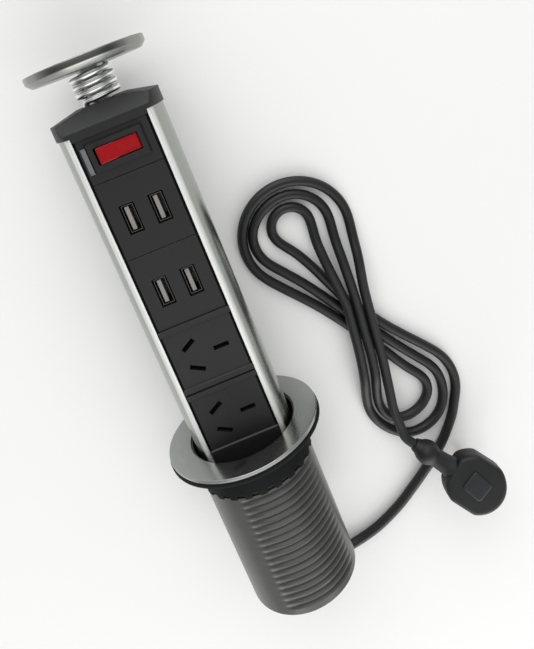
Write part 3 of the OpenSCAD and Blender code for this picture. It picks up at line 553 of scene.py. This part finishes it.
# The lid's radius, its two faces and the bevel of its lower edge.
LID_R, LID_LOW, LID_TOP, LID_BEVEL = 28.7, 196.5, 202.1, 2.4


def turned(profile):
    """Profile of radius and height swept round the Y axis: (r cos a, y, r sin a)."""
    r, y = profile[:, 0][None, :], profile[:, 1][None, :]
    return np.stack([r * np.cos(ROUND), y + 0 * ROUND, r * np.sin(ROUND)], -1)


ring_profile = soften(
    [[RING_IN, SEAT], [RING_IN, RING_TOP], [RING_OUT, RING_TOP], [RING_OUT, RIM_LOW], [RIM_IN, RIM_LOW],
     [RIM_IN, SEAT]], [0.1, 0.4, 0.5, 0.2, 0.1, 0.1], 7)
points = turned(ring_profile)
flange = put("flange_turning", points, quads(points, True, True), flange_steel, "sleeve", "flange_ring")
lid_profile = soften(
    [[0, LID_LOW], [LID_R - LID_BEVEL, LID_LOW], [LID_R, LID_LOW + LID_BEVEL], [LID_R, LID_TOP],
     [0, LID_TOP]], [0, 0.4, 0.4, 0.6, 0], 6, closed=False)
points = turned(lid_profile)
lid = put("lid_disc", points, quads(points, True, False), lid_steel, "lid", "lid")

# %% [markdown]
# ## The lid's spring
# A chromed compression spring pushes the lid up. Its wire is bent from a straight leg in the cap
# into the coil and out into a leg in the lid. A screw modifier makes the coil alone, so the line is
# worked out instead, with its legs, quarter bends and curls, and a circle is carried along it.

# %% Chromed spring wire
chrome, tree, shader, place = finish("spring wire, polished chrome plating", "#EDEEEC", Metallic=1.0)
# Plating is even, with a faint haze every few millimetres that keeps it from looking like glass.
patchy(tree, shader, place, 4, 0.18, 0.3, detail=3.0)

# %% Spring
# The wire's diameter, the coil's radius, its curls and the angle that it starts at.
WIRE, COIL_R, CURLS, STARTS = 2.8, 9.2, 3.25, radians(225)
# The cap's face that the spring stands on, the lid's travel, and the radius of the bends.
CAP_TOP, PRESS, BEND = 181.0, 2.0, 0.75 * WIRE
# How deep the two points of each leg lie in the cap or in the lid.
leg = np.array([3.0, 1.2])
bend_turn = BEND / COIL_R
coil_turn = 2 * np.pi * CURLS
room = LID_LOW - CAP_TOP
q = np.radians([0, 22.5, 45, 67.5])
curl = np.linspace(0, 1, 420)
turn = STARTS + np.concatenate([
    0 * leg, bend_turn * (1 - np.cos(q)), bend_turn + coil_turn * curl,
    coil_turn + bend_turn * (1 + np.cos(q[::-1])), 0 * leg + coil_turn + 2 * bend_turn])
rise = np.concatenate([
    CAP_TOP - leg, CAP_TOP + BEND * np.sin(q), CAP_TOP + BEND + (room - 2 * BEND) * curl,
    LID_LOW - BEND * np.sin(q[::-1]), LID_LOW + leg[::-1]])
coil = np.stack([COIL_R * np.cos(turn), rise, -COIL_R * np.sin(turn)], -1)
outwards = np.stack([np.cos(turn), 0 * turn, -np.sin(turn)], -1)
wire = tube(coil, WIRE / 2, 32, outwards)
spring = put("spring_coil", wire, quads(wire, close_columns=True), chrome, "tower", "lid_spring", crease=60)
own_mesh(spring)

# %% [markdown]
# ## The grey threaded barrel
# The barrel is moulded in grey glass-filled nylon. Its thread runs only across the front and the
# back, with a smooth strip at each side where the mould parts. A groove cut by a boolean would end
# in a wall. Here the radius is a function of the angle and the height: the crest radius less a
# groove that fades out at the edges of the strips.

# %% Glass-filled nylon
BORE, CREST, ROOT = 27.2, 29.0, 27.9
nylon, tree, shader, place = finish("barrel nylon, glass filled, satin grey", "#474843", Roughness=0.3,
                                    Specular_IOR_Level=0.42)
# Glass fibres leave cloudy marks of about 6 mm and a dry, even skin.
cloud = add(tree, "ShaderNodeTexNoise", {"Scale": 1 / (6 * MM), "Detail": 5.0}, {"Vector": place})
tone = add(tree, "ShaderNodeMix", {"A": linear("#41423E"), "B": linear("#4C4D48")},
           {"Factor": cloud.outputs["Fac"]}, data_type="RGBA")
pebbled(tree, shader, place, 0.5, 0.3, 0.05)
# Painted shade: the colour darkens from the nylon's own tone at the crests to #2B2C29 in the roots, where the
# grooves shade themselves.
groove_shade_mask = add(tree, "ShaderNodeMapRange", {"From Min": (ROOT + 0.1) * MM, "From Max": (CREST - 0.1) * MM},
            {"Value": from_axis(tree, place)})
painted_groove_shade = add(tree, "ShaderNodeMix", {"A": linear("#2B2C29")},
             {"Factor": groove_shade_mask.outputs["Result"], "B": tone.outputs["Result"]}, data_type="RGBA")
tree.links.new(painted_groove_shade.outputs["Result"], shader.inputs["Base Color"])

# %% Barrel
# Heights of the barrel's foot and of the collar's lower edge, and the barrel's radius inside the collar.
BOTTOM, COLLAR_LOW, IN_COLLAR = -89.0, -16.5, 28.1
# The thread's pitch and count, and the land above it.
PITCH, GROOVES, LAND = 3.8, 18, 0.8
# The shares of a pitch that half a groove and its flank take.
HALF_GROOVE, FLANK = 0.38, 0.28
# Where the mould parts, how far the smooth strips reach from there, and how softly the grooves run out.
PARTS_AT, STRIP, RUN_OUT = radians(19), radians(41), 0.24
# Close rows of points down the wall, so that the grooves come out smooth.
thread = np.linspace(BOTTOM + 0.7, COLLAR_LOW, 520)[::-1]
barrel_profile = np.vstack([
    soften([[CREST, COLLAR_LOW], [CREST, BOTTOM], [BORE, BOTTOM], [BORE, SEAT], [IN_COLLAR, SEAT],
            [IN_COLLAR, COLLAR_LOW]], [0, 0.6, 0.4, 0.3, 0.2, 0], 5, closed=False)[1:],
    np.stack([0 * thread + CREST, thread], -1)])
r, y = barrel_profile[:, 0][None, :], barrel_profile[:, 1][None, :]
count = (COLLAR_LOW - LAND - y) / PITCH
off_middle = np.abs(count - np.floor(count) - 0.5)
groove = np.clip((HALF_GROOVE - off_middle) / FLANK, 0, 1)
groove = groove * ((count > 0) & (count < GROOVES) & (r > CREST - 0.01))
sector = ease((np.abs(np.sin(ROUND + PARTS_AT)) - sin(STRIP)) / RUN_OUT)
radius = r - (CREST - ROOT) * groove * sector
points = np.stack([radius * np.cos(ROUND), y + 0 * ROUND, radius * np.sin(ROUND)], -1)
barrel = put("threaded_barrel", points, quads(points, True, True), nylon, "sleeve", "barrel")

# %% [markdown]
# ## The rocker
# The rocker is a polished red moulding with a shallow V along its length, so that a finger finds
# either end. A bevelled box has no V, so its side outline is carried across the switch, and each
# edge is drawn in by a quarter circle, which gives the thin bright line that a moulded edge shows.

# %% Polished red plastic
red, tree, shader, place = finish("rocker ABS, polished red", "#9C0F16", Specular_IOR_Level=0.28)
# Finger wear dulls a polished key in spots of about 2 mm.
patchy(tree, shader, place, 2, 0.18, 0.36)


# %% An outline carried along
def plank(loop, low, high, edge):
    """Closed outline in X and Z carried along Y from low to high; both end faces are drawn in along the
    outline's normals by edge (1 - sin a)."""
    ahead = np.roll(loop, -1, 0) - np.roll(loop, 1, 0)
    ahead /= np.linalg.norm(ahead, axis=1)[:, None]
    inwards = np.stack([-ahead[:, 1], ahead[:, 0]], -1)
    # One ring inside the rounded edge and one past it keep the flat faces flat in their shading.
    a = np.linspace(0, np.pi / 2, 5)
    draw = np.concatenate([[1.2 * edge], edge * (1 - np.sin(a)), [0.0]])
    rise = np.concatenate([[0.0], edge * (1 - np.cos(a)), [1.3 * edge]])
    draw, y = np.concatenate([draw, draw[::-1]]), np.concatenate([low + rise, (high - rise)[::-1]])
    rings = loop[None] + draw[:, None, None] * inwards[None]
    points = np.stack([rings[..., 0], np.broadcast_to(y[:, None], rings.shape[:2]), rings[..., 1]], -1)
    end = np.array(tessellate_polygon([[(*p, 0.0) for p in rings[0]]]))
    other_end = end + (len(draw) - 1) * len(loop)
    walls = quads(rings, close_columns=True)
    return points.reshape(-1, 3), walls.tolist() + end.tolist() + other_end.tolist()


# %% Rocker
# Half length and half width, the tilt at rest, and the pivot's height and place along the tower.
HALF_L, HALF_W, REST = 9.6, 3.7, radians(8)
PIVOT_Z, ROCKER_Y = 15.2, 159.7
# Heights over the pivot: the bottom of the V, the lower end edges, and the belly with its half length.
CROWN, END_LOW, BELLY, BELLY_HALF = 2.2, 0.6, -1.2, 4.0
# The bottom of the V is rounded: its height goes with sqrt((x / half length)^2 + this).
ROUNDED = 0.02
dish = HALF_L * np.tan(REST)
x = np.linspace(HALF_L, -HALF_L, 41)[1:-1]
crown = np.stack([x, CROWN + dish * (np.sqrt((x / HALF_L) ** 2 + ROUNDED) - ROUNDED**0.5)], -1)
under = soften(
    [[HALF_L, CROWN + dish], [-HALF_L, CROWN + dish], [-HALF_L, END_LOW], [-BELLY_HALF, BELLY],
     [BELLY_HALF, BELLY], [HALF_L, END_LOW]], [0.5, 0.5, 0.3, 0.3, 0.3, 0.3], 6)
points, faces = plank(np.vstack([under[:6], crown, under[6:]]), -HALF_W, HALF_W, 0.4)
x, y, z = points.T
tilted = np.stack([x * cos(REST) + z * sin(REST), ROCKER_Y + y, PIVOT_Z - x * sin(REST) + z * cos(REST)], -1)
rocker = put("rocker_key", tilted, faces, red, "rocker", "rocker")

# %% [markdown]
# ## The switch bezel's left flank
# The bezel round the rocker slopes down to the plate at its left end. The slope shows as a pale
# strip: it is coloured grey, a painted highlight on the black bezel. A wedge section carried along the bezel
# is enough.

# %% Flank painted grey as a highlight
flank_painted_highlight, tree, shader, place = finish("bezel flank ABS, grey as painted highlight", "#74777A")
# Polishing leaves a faint unevenness every 3 mm, so the strip is not one flat tone.
patchy(tree, shader, place, 3, 0.2, 0.4, detail=3.0)

# %% Left flank
# Across the plate: the flank's inner wall, its ridge and its foot.
FLANK_IN, RIDGE, FOOT = -13.5, -13.8, -15.8
# Heights of the flank's underside, of its foot's edge and of its ridge.
FLANK_LOW, FOOT_Z, RIDGE_Z = 16.2, 16.5, 17.3
FLANK_FROM, FLANK_TO = 152.8, 165.0
wedge = soften(
    [[FLANK_IN, FLANK_LOW], [FLANK_IN, RIDGE_Z], [RIDGE, RIDGE_Z], [FOOT, FOOT_Z], [FOOT, FLANK_LOW]],
    [0.1, 0.2, 0.2, 0.2, 0.1], 4)
points, faces = plank(wedge[::-1], FLANK_FROM, FLANK_TO, 0.3)
flank = put("bezel_flank_left", points, faces, flank_painted_highlight, "tower")

# %% [markdown]
# ## The aluminium tower
# The tower is an aluminium extrusion, round at the back and open at the front, where two lips hold
# the plates. It is anodised, and the die leaves fine lines along it. It could be a cylinder with a
# slot cut out, but a section carried along the tower in one go, as the press does, keeps its lips
# crisp and its lines straight.

# %% Anodised aluminium
FRONT, LIP = 16.5, 2.0
anodised, tree, shader, place = finish("rail aluminium, satin anodised, sides in painted shade", "#DADCD8",
                                       Metallic=1.0)
# Painted shade: the sides are coloured greyer than the white lips, for the darker surroundings that they
# reflect. The lips are also rougher, so their reflections spread wide.
depth = add(tree, "ShaderNodeSeparateXYZ", links={"Vector": place})
toward_lips = add(tree, "ShaderNodeMapRange", {"From Min": (FRONT - 2.3) * MM, "From Max": (FRONT - 0.7) * MM},
          {"Value": depth.outputs["Z"]})
tone = add(tree, "ShaderNodeMix", {"A": linear("#9EA19B"), "B": linear("#F6F7F4")},
           {"Factor": toward_lips.outputs["Result"]}, data_type="RGBA")
tree.links.new(tone.outputs["Result"], shader.inputs["Base Color"])
# Die lines run the whole length: noise stretched sixty times along the tower. They are drawn 0.5 mm wide,
# because real ones, of about 0.1 mm, would not show.
stretch = add(tree, "ShaderNodeMapping", {"Scale": (1.0, 1 / 60, 1.0)}, {"Vector": place})
lines = add(tree, "ShaderNodeTexNoise", {"Scale": 1 / (0.5 * MM), "Detail": 3.0},
            {"Vector": stretch.outputs["Vector"]})
shine = add(tree, "ShaderNodeMapRange", {"To Min": 0.16, "To Max": 0.36}, {"Value": lines.outputs["Fac"]})
bump = add(tree, "ShaderNodeBump", {"Strength": 0.15, "Distance": 0.02 * MM},
           {"Height": lines.outputs["Fac"]})
brushed = add(tree, "ShaderNodeMath", {1: 0.34}, {0: toward_lips.outputs["Result"], 2: shine.outputs["Result"]},
              operation="MULTIPLY_ADD")
tree.links.new(brushed.outputs["Value"], shader.inputs["Roughness"])
tree.links.new(bump.outputs["Normal"], shader.inputs["Normal"])

# %% Tower extrusion
# Radii outside and inside, half the opening between the lips, and the tower's two ends.
OUT, IN, OPEN = 25.5, 23.5, 17.89
TOWER_LOW, TOWER_TOP = -44.3, 171.0
# Angles of the lip's corners, and how far before them the straight stretch and the arc end.
a0, a1 = asin(FRONT / OUT), asin((FRONT - LIP) / IN)
BEFORE, ARC_BEFORE = 0.07, 0.08


def on_circle(radius, angle):
    """Points of a circle in X and Z: (r cos a, r sin a)."""
    return radius * np.stack([np.cos(angle), np.sin(angle)], -1)


lip = soften(
    [on_circle(OUT, a0 - BEFORE), on_circle(OUT, a0), [OPEN, FRONT], [OPEN, FRONT - LIP],
     on_circle(IN, a1), on_circle(IN, a1 - BEFORE)], [0, 0.7, 0.35, 0.2, 0.1, 0], 5, closed=False)
outer = np.linspace(-np.pi - a0 + ARC_BEFORE, a0 - ARC_BEFORE, 130)
inner = np.linspace(a1 - ARC_BEFORE, -np.pi - a1 + ARC_BEFORE, 110)
section = np.vstack([on_circle(OUT, outer), lip, on_circle(IN, inner), lip[::-1] * [-1, 1]])
points, faces = plank(section, TOWER_LOW, TOWER_TOP, 0.15)
tower = put("tower_extrusion", points, faces, anodised, "tower", "tower_profile", crease=30)

# %% [markdown]
# ## Painted shadow beside the plates
# Between the plates and each lip lies a narrow gap in shadow. A thin matt black strip that sits low
# paints that shade in, as the dark line beside each bright rail: painted shadow, not a part. A dark
# line could be painted into the finish, but a strip also shows from the side. Its section is carried along.

# %% Painted shade strips beside the plates
painted_gap_shade, tree, shader, place = finish("gap shade strip, matt black painted shadow", "#060606",
                                          Specular_IOR_Level=0.1)
# Mottling of 1.5 mm, all of it matt, so that no highlight runs along the painted shade strip.
patchy(tree, shader, place, 1.5, 0.8, 1.0, detail=2.0)
GAP_SHADE_IN, GAP_SHADE_OUT, GAP_SHADE_LOW, GAP_SHADE_TOP = 16.7, 17.8, 15.9, 16.4
GAP_SHADE_FROM, GAP_SHADE_TO = 4.2, 168.8
gap_shade_section = soften([[GAP_SHADE_IN, GAP_SHADE_LOW], [GAP_SHADE_OUT, GAP_SHADE_LOW], [GAP_SHADE_OUT, GAP_SHADE_TOP], [GAP_SHADE_IN, GAP_SHADE_TOP]],
              [0.1, 0.1, 0.15, 0.15], 4)
for name, turn_over in (("gap_shade_strip_right", 1), ("gap_shade_strip_left", -1)):
    points, faces = plank((gap_shade_section * [turn_over, 1])[::turn_over], GAP_SHADE_FROM, GAP_SHADE_TO, 0.1)
    strip = put(name, points, faces, painted_gap_shade, "tower")

# %% [markdown]
# ## Finishes of the moulded and small metal pieces
# The black plastics come out of moulds whose steel was eroded by sparks. They differ in shade, in
# shine and in the size of the pits, so one function makes them all, and the rubber and the felt
# with them. The small metal pieces are plated or bare, and one function makes those too.

# %% Moulded plastics, rubber and felt
def moulded(name, colour, low, high, texture_mm, gloss=0.5):
    """Moulded or pressed skin: shine in soft clouds, and a fine pebble in the normal."""
    made, tree, shader, place = finish(name, colour, Specular_IOR_Level=gloss)
    patchy(tree, shader, place, 11, low, high, detail=5.0)
    pebbled(tree, shader, place, texture_mm, 0.3, 0.04)
    return made


# Sparks leave pits of about 0.1 mm; 0.5 mm is the finest that shows here. They spread a highlight to a
# soft sheen.
plate_abs = moulded("plate ABS, spark-eroded satin black", "#1C1C1D", 0.4, 0.56, 0.5, 0.42)
cap_abs = moulded("cap ABS, spark-eroded black", "#151617", 0.42, 0.58, 0.5)
collar_nylon = moulded("collar nylon, moulded black", "#0B0E0F", 0.5, 0.66, 0.6, 0.1)
rubber = moulded("gasket rubber, moulded matt black", "#0A0A0B", 0.7, 0.85, 0.8, 0.2)
inner_abs = moulded("inner ABS, plain moulded dark grey", "#262627", 0.5, 0.65, 0.7)
tongue_pbt = moulded("port tongue PBT, plain moulded grey", "#8F8C87", 0.4, 0.6, 0.7)
felt = moulded("guide felt, pressed grey wool", "#4C4C50", 0.9, 1.0, 0.4)


# %% Plated and bare metals
def metal(name, colour, low, high, size_mm):
    """Plated or bare metal with a shine that changes in soft spots of one size."""
    made, tree, shader, place = finish(name, colour, Metallic=1.0)
    patchy(tree, shader, place, size_mm, low, high)
    return made


# Spots of 2 to 3 mm, as plating and handling leave them, keep a small face from mirroring one flat tone.
# The port shells are coloured darker than bright plating: painted shade for the recess that they sit in.
nickel = metal("port shell steel, nickel plated, painted shade", "#5A5A58", 0.3, 0.45, 3)
zinc = metal("screw steel, zinc plated", "#B9BBBD", 0.25, 0.42, 2)
# The contacts' brass is coloured a deep dark brown: painted shade for the deep slots that they sit in.
brass = metal("contact brass, stamped, painted shade", "#57451F", 0.35, 0.55, 3)
pin_metal = metal("plug pin brass, nickel washed", "#CFC7A8", 0.2, 0.36, 3)

# %% Circuit board and loom
board_mask, tree, shader, place = finish("board glass fibre, green solder mask", "#1C4A33", Roughness=0.35)
# The glass weave under the mask, in cells of 0.6 mm, ripples the shine.
weave = add(tree, "ShaderNodeTexVoronoi", {"Scale": 1 / (0.6 * MM)}, {"Vector": place})
bump = add(tree, "ShaderNodeBump", {"Strength": 0.2, "Distance": 0.03 * MM},
           {"Height": weave.outputs["Distance"]})
tree.links.new(bump.outputs["Normal"], shader.inputs["Normal"])
wire_pvc, tree, shader, place = finish("loom PVC, extruded brown", "#5B3620")
# Shine in patches of 3 mm, as bending leaves it, keeps the wires from looking painted.
patchy(tree, shader, place, 3, 0.36, 0.55, detail=3.0)

# %% [markdown]
# ## The collar with its notched edge
# The collar under the flange ends in 24 square notches that grip the nut. Cutting them out would
# leave long thin faces that shade in stripes. It is a turned section instead, whose lowest points
# rise into the notches: a square wave of the angle, steep but not upright, as a mould needs draft.

# %% Notched collar
NOTCHES, NOTCH, DRAFT = 24, 2.4, 0.4
# Radii of the bore, the spigot, the neck inside the gasket and the rim under the flange ring.
COLLAR_IN, COLLAR_R, GASKET_IN, COLLAR_RIM = 28.15, 30.2, 29.7, 38.0
# Rings of points below the shoulder and above the notches keep the wall between them flat in its shading.
BELOW, ABOVE_NOTCH = -1.0, -13.5
collar_profile = soften(
    [[COLLAR_IN, ABOVE_NOTCH], [COLLAR_IN, SEAT], [COLLAR_RIM, SEAT], [COLLAR_RIM, RIM_LOW],
     [GASKET_IN, RIM_LOW], [GASKET_IN, 0.0], [COLLAR_R, 0.0], [COLLAR_R, BELOW], [COLLAR_R, ABOVE_NOTCH],
     [COLLAR_R, COLLAR_LOW], [COLLAR_IN, COLLAR_LOW]], [0, 0.1, 0.1, 0.1, 0, 0, 0.1, 0, 0, 0.35, 0.2], 4)
a = np.linspace(0, 2 * np.pi, 30 * NOTCHES, endpoint=False)[:, None]
wave = np.clip(0.5 + np.cos(NOTCHES * a - np.pi) / DRAFT, 0, 1)
r, y = collar_profile[:, 0][None, :], collar_profile[:, 1][None, :]
y = y + NOTCH * wave * (y < (ABOVE_NOTCH + COLLAR_LOW) / 2)
points = np.stack([r * np.cos(a), y, r * np.sin(a)], -1)
collar = put("notched_collar", points, quads(points, True, True), collar_nylon, "sleeve", "head_collar")

# %% [markdown]
# ## Plates, caps and inner pieces
# These pieces are flat, small or hidden, and their solids are right as they are, so making them
# again would gain nothing. Where an edge is seen, the solid's loose triangles are welded and a
# narrow bevel rounds it, as every mould has a small radius there. The bevel catches the light.

# %% Solids that stay, with soft edges
PLATES = ["switch_plate", "usb_plate_1", "usb_plate_2", "outlet_plate_1", "outlet_plate_2", "blank_plate"]
STAYING = {
    plate_abs: PLATES,
    cap_abs: ["top_cap", "bottom_cap", "guide_bush", "cord_gland"],
    rubber: ["gasket"],
    inner_abs: ["switch_body", "outlet_housing_1", "outlet_housing_2"],
    tongue_pbt: ["usb_tongues_1", "usb_tongues_2"],
    felt: ["guide_pads"],
    nickel: ["usb_shells_1", "usb_shells_2"],
    zinc: ["cap_screws", "foot_screws", "lid_stem", "stem_clip"],
    brass: ["outlet_contacts_1", "outlet_contacts_2"],
    pin_metal: ["plug_pins"],
    board_mask: ["usb_board_1", "usb_board_2"],
    wire_pvc: ["wire_loom"],
}
# Width of the bevel in millimetres, for the solids whose edges are seen.
EDGE = dict.fromkeys(PLATES, 0.22) | {
    "switch_plate": 0.25, "top_cap": 0.45, "bottom_cap": 0.4, "gasket": 0.3, "usb_shells_1": 0.08,
    "usb_shells_2": 0.08, "plug_pins": 0.3}
for material, names in STAYING.items():
    for name in names:
        solid = solids[name]
        solid.data.materials.clear()
        solid.data.materials.append(material)
        if name in EDGE:
            weld = solid.modifiers.new("weld", "WELD")
            weld.merge_threshold = 1e-6
            bevel = solid.modifiers.new("soft edge", "BEVEL")
            bevel.width = EDGE[name] * MM
            bevel.segments = 2
            bevel.limit_method = "ANGLE"
            bevel.angle_limit = radians(32)
            bevel.harden_normals = True
print("solids kept:", sum(map(len, STAYING.values())), "with soft edges:", len(EDGE))

# %% [markdown]
# ## Table and light
# A white table fills the view, so the background is its colour. One large soft lamp stands low
# beyond the near end and one beyond the far end. The sky is a bright band between them, dimmer at
# the sides, with a dark strip across the middle that fades towards the horizon. One even white sky
# would wash the metal out. With the strip, metal is white where it leans along the tower and dark
# where it faces the camera, as in the photograph.

# %% Table
TABLE_REACH = 4.0
paper, tree, shader, place = finish("table paper, matt white", "#F6F6F5", Roughness=0.9,
                                    Specular_IOR_Level=0.2)
# Fibres of 2 mm, hardly raised, keep the white from looking like plastic.
pebbled(tree, shader, place, 2, 0.05, 0.02, detail=4.0)
corners = [(x * TABLE_REACH, y * TABLE_REACH, TABLE * MM) for x, y in ((-1, -1), (1, -1), (1, 1), (-1, 1))]
sheet = bpy.data.meshes.new("table")
sheet.from_pydata(corners, [], [(0, 1, 2, 3)])
sheet.materials.append(paper)
table = bpy.data.objects.new("table", sheet)
bpy.context.collection.objects.link(table)
print("table:", 2 * TABLE_REACH, "m wide")

# %% Lamps
# In metres and watts: place, power, width and height of each lamp, and the point that both look at.
LAMPS = {"near": ((0.0, -1.1, 0.45), 8.0, 1.3, 0.7), "far": ((0.0, 1.2, 0.55), 6.5, 1.0, 1.0)}
AIM = np.array([0.03, 0.04, -0.01])
for name, (at, power, wide, tall) in LAMPS.items():
    lamp = bpy.data.lights.new("lamp " + name, "AREA")
    lamp.shape = "RECTANGLE"
    lamp.size, lamp.size_y = wide, tall
    lamp.energy = power
    holder = bpy.data.objects.new("lamp " + name, lamp)
    holder.location = at
    x, y, z = (np.array(at) - AIM).tolist()
    holder.rotation_euler = (float(np.arctan2(np.hypot(x, y), z)), 0.0, float(np.arctan2(x, -y)))
    bpy.context.collection.objects.link(holder)
print("lamps:", len(LAMPS))

# %% Sky
sky = bpy.data.worlds.new("sky")
sky.use_nodes = True
bpy.context.scene.world = sky
tree = sky.node_tree
tree.nodes.clear()
where = add(tree, "ShaderNodeTexCoord")
parts = add(tree, "ShaderNodeSeparateXYZ", links={"Vector": where.outputs["Generated"]})
# The bright band, by the distance to the side.
aside = add(tree, "ShaderNodeMath", links={0: parts.outputs["X"]}, operation="ABSOLUTE")
band = add(tree, "ShaderNodeMapRange", {"From Min": 0.35, "From Max": 0.85, "To Min": 1.05, "To Max": 0.55},
           {"Value": aside.outputs["Value"]}, interpolation_type="SMOOTHSTEP")
# The dark strip across it, by the distance along the tower; darkest overhead, by the height.
along = add(tree, "ShaderNodeMath", links={0: parts.outputs["Y"]}, operation="ABSOLUTE")
dark = add(tree, "ShaderNodeMapRange", {"From Min": 0.0, "From Max": 0.6, "To Min": 1.0, "To Max": 0.12},
           {"Value": parts.outputs["Z"]}, interpolation_type="SMOOTHSTEP")
strip = add(tree, "ShaderNodeMapRange", {"From Min": 0.1, "From Max": 0.3, "To Max": 1.0},
            {"Value": along.outputs["Value"], "To Min": dark.outputs["Result"]},
            interpolation_type="SMOOTHSTEP")
level = add(tree, "ShaderNodeMath", links={0: band.outputs["Result"], 1: strip.outputs["Result"]},
            operation="MULTIPLY")
glow = add(tree, "ShaderNodeBackground", {"Color": linear("#FFFFFF")}, {"Strength": level.outputs["Value"]})
add(tree, "ShaderNodeOutputWorld", links={"Surface": glow.outputs["Background"]})
print("sky:", len(tree.nodes), "nodes")
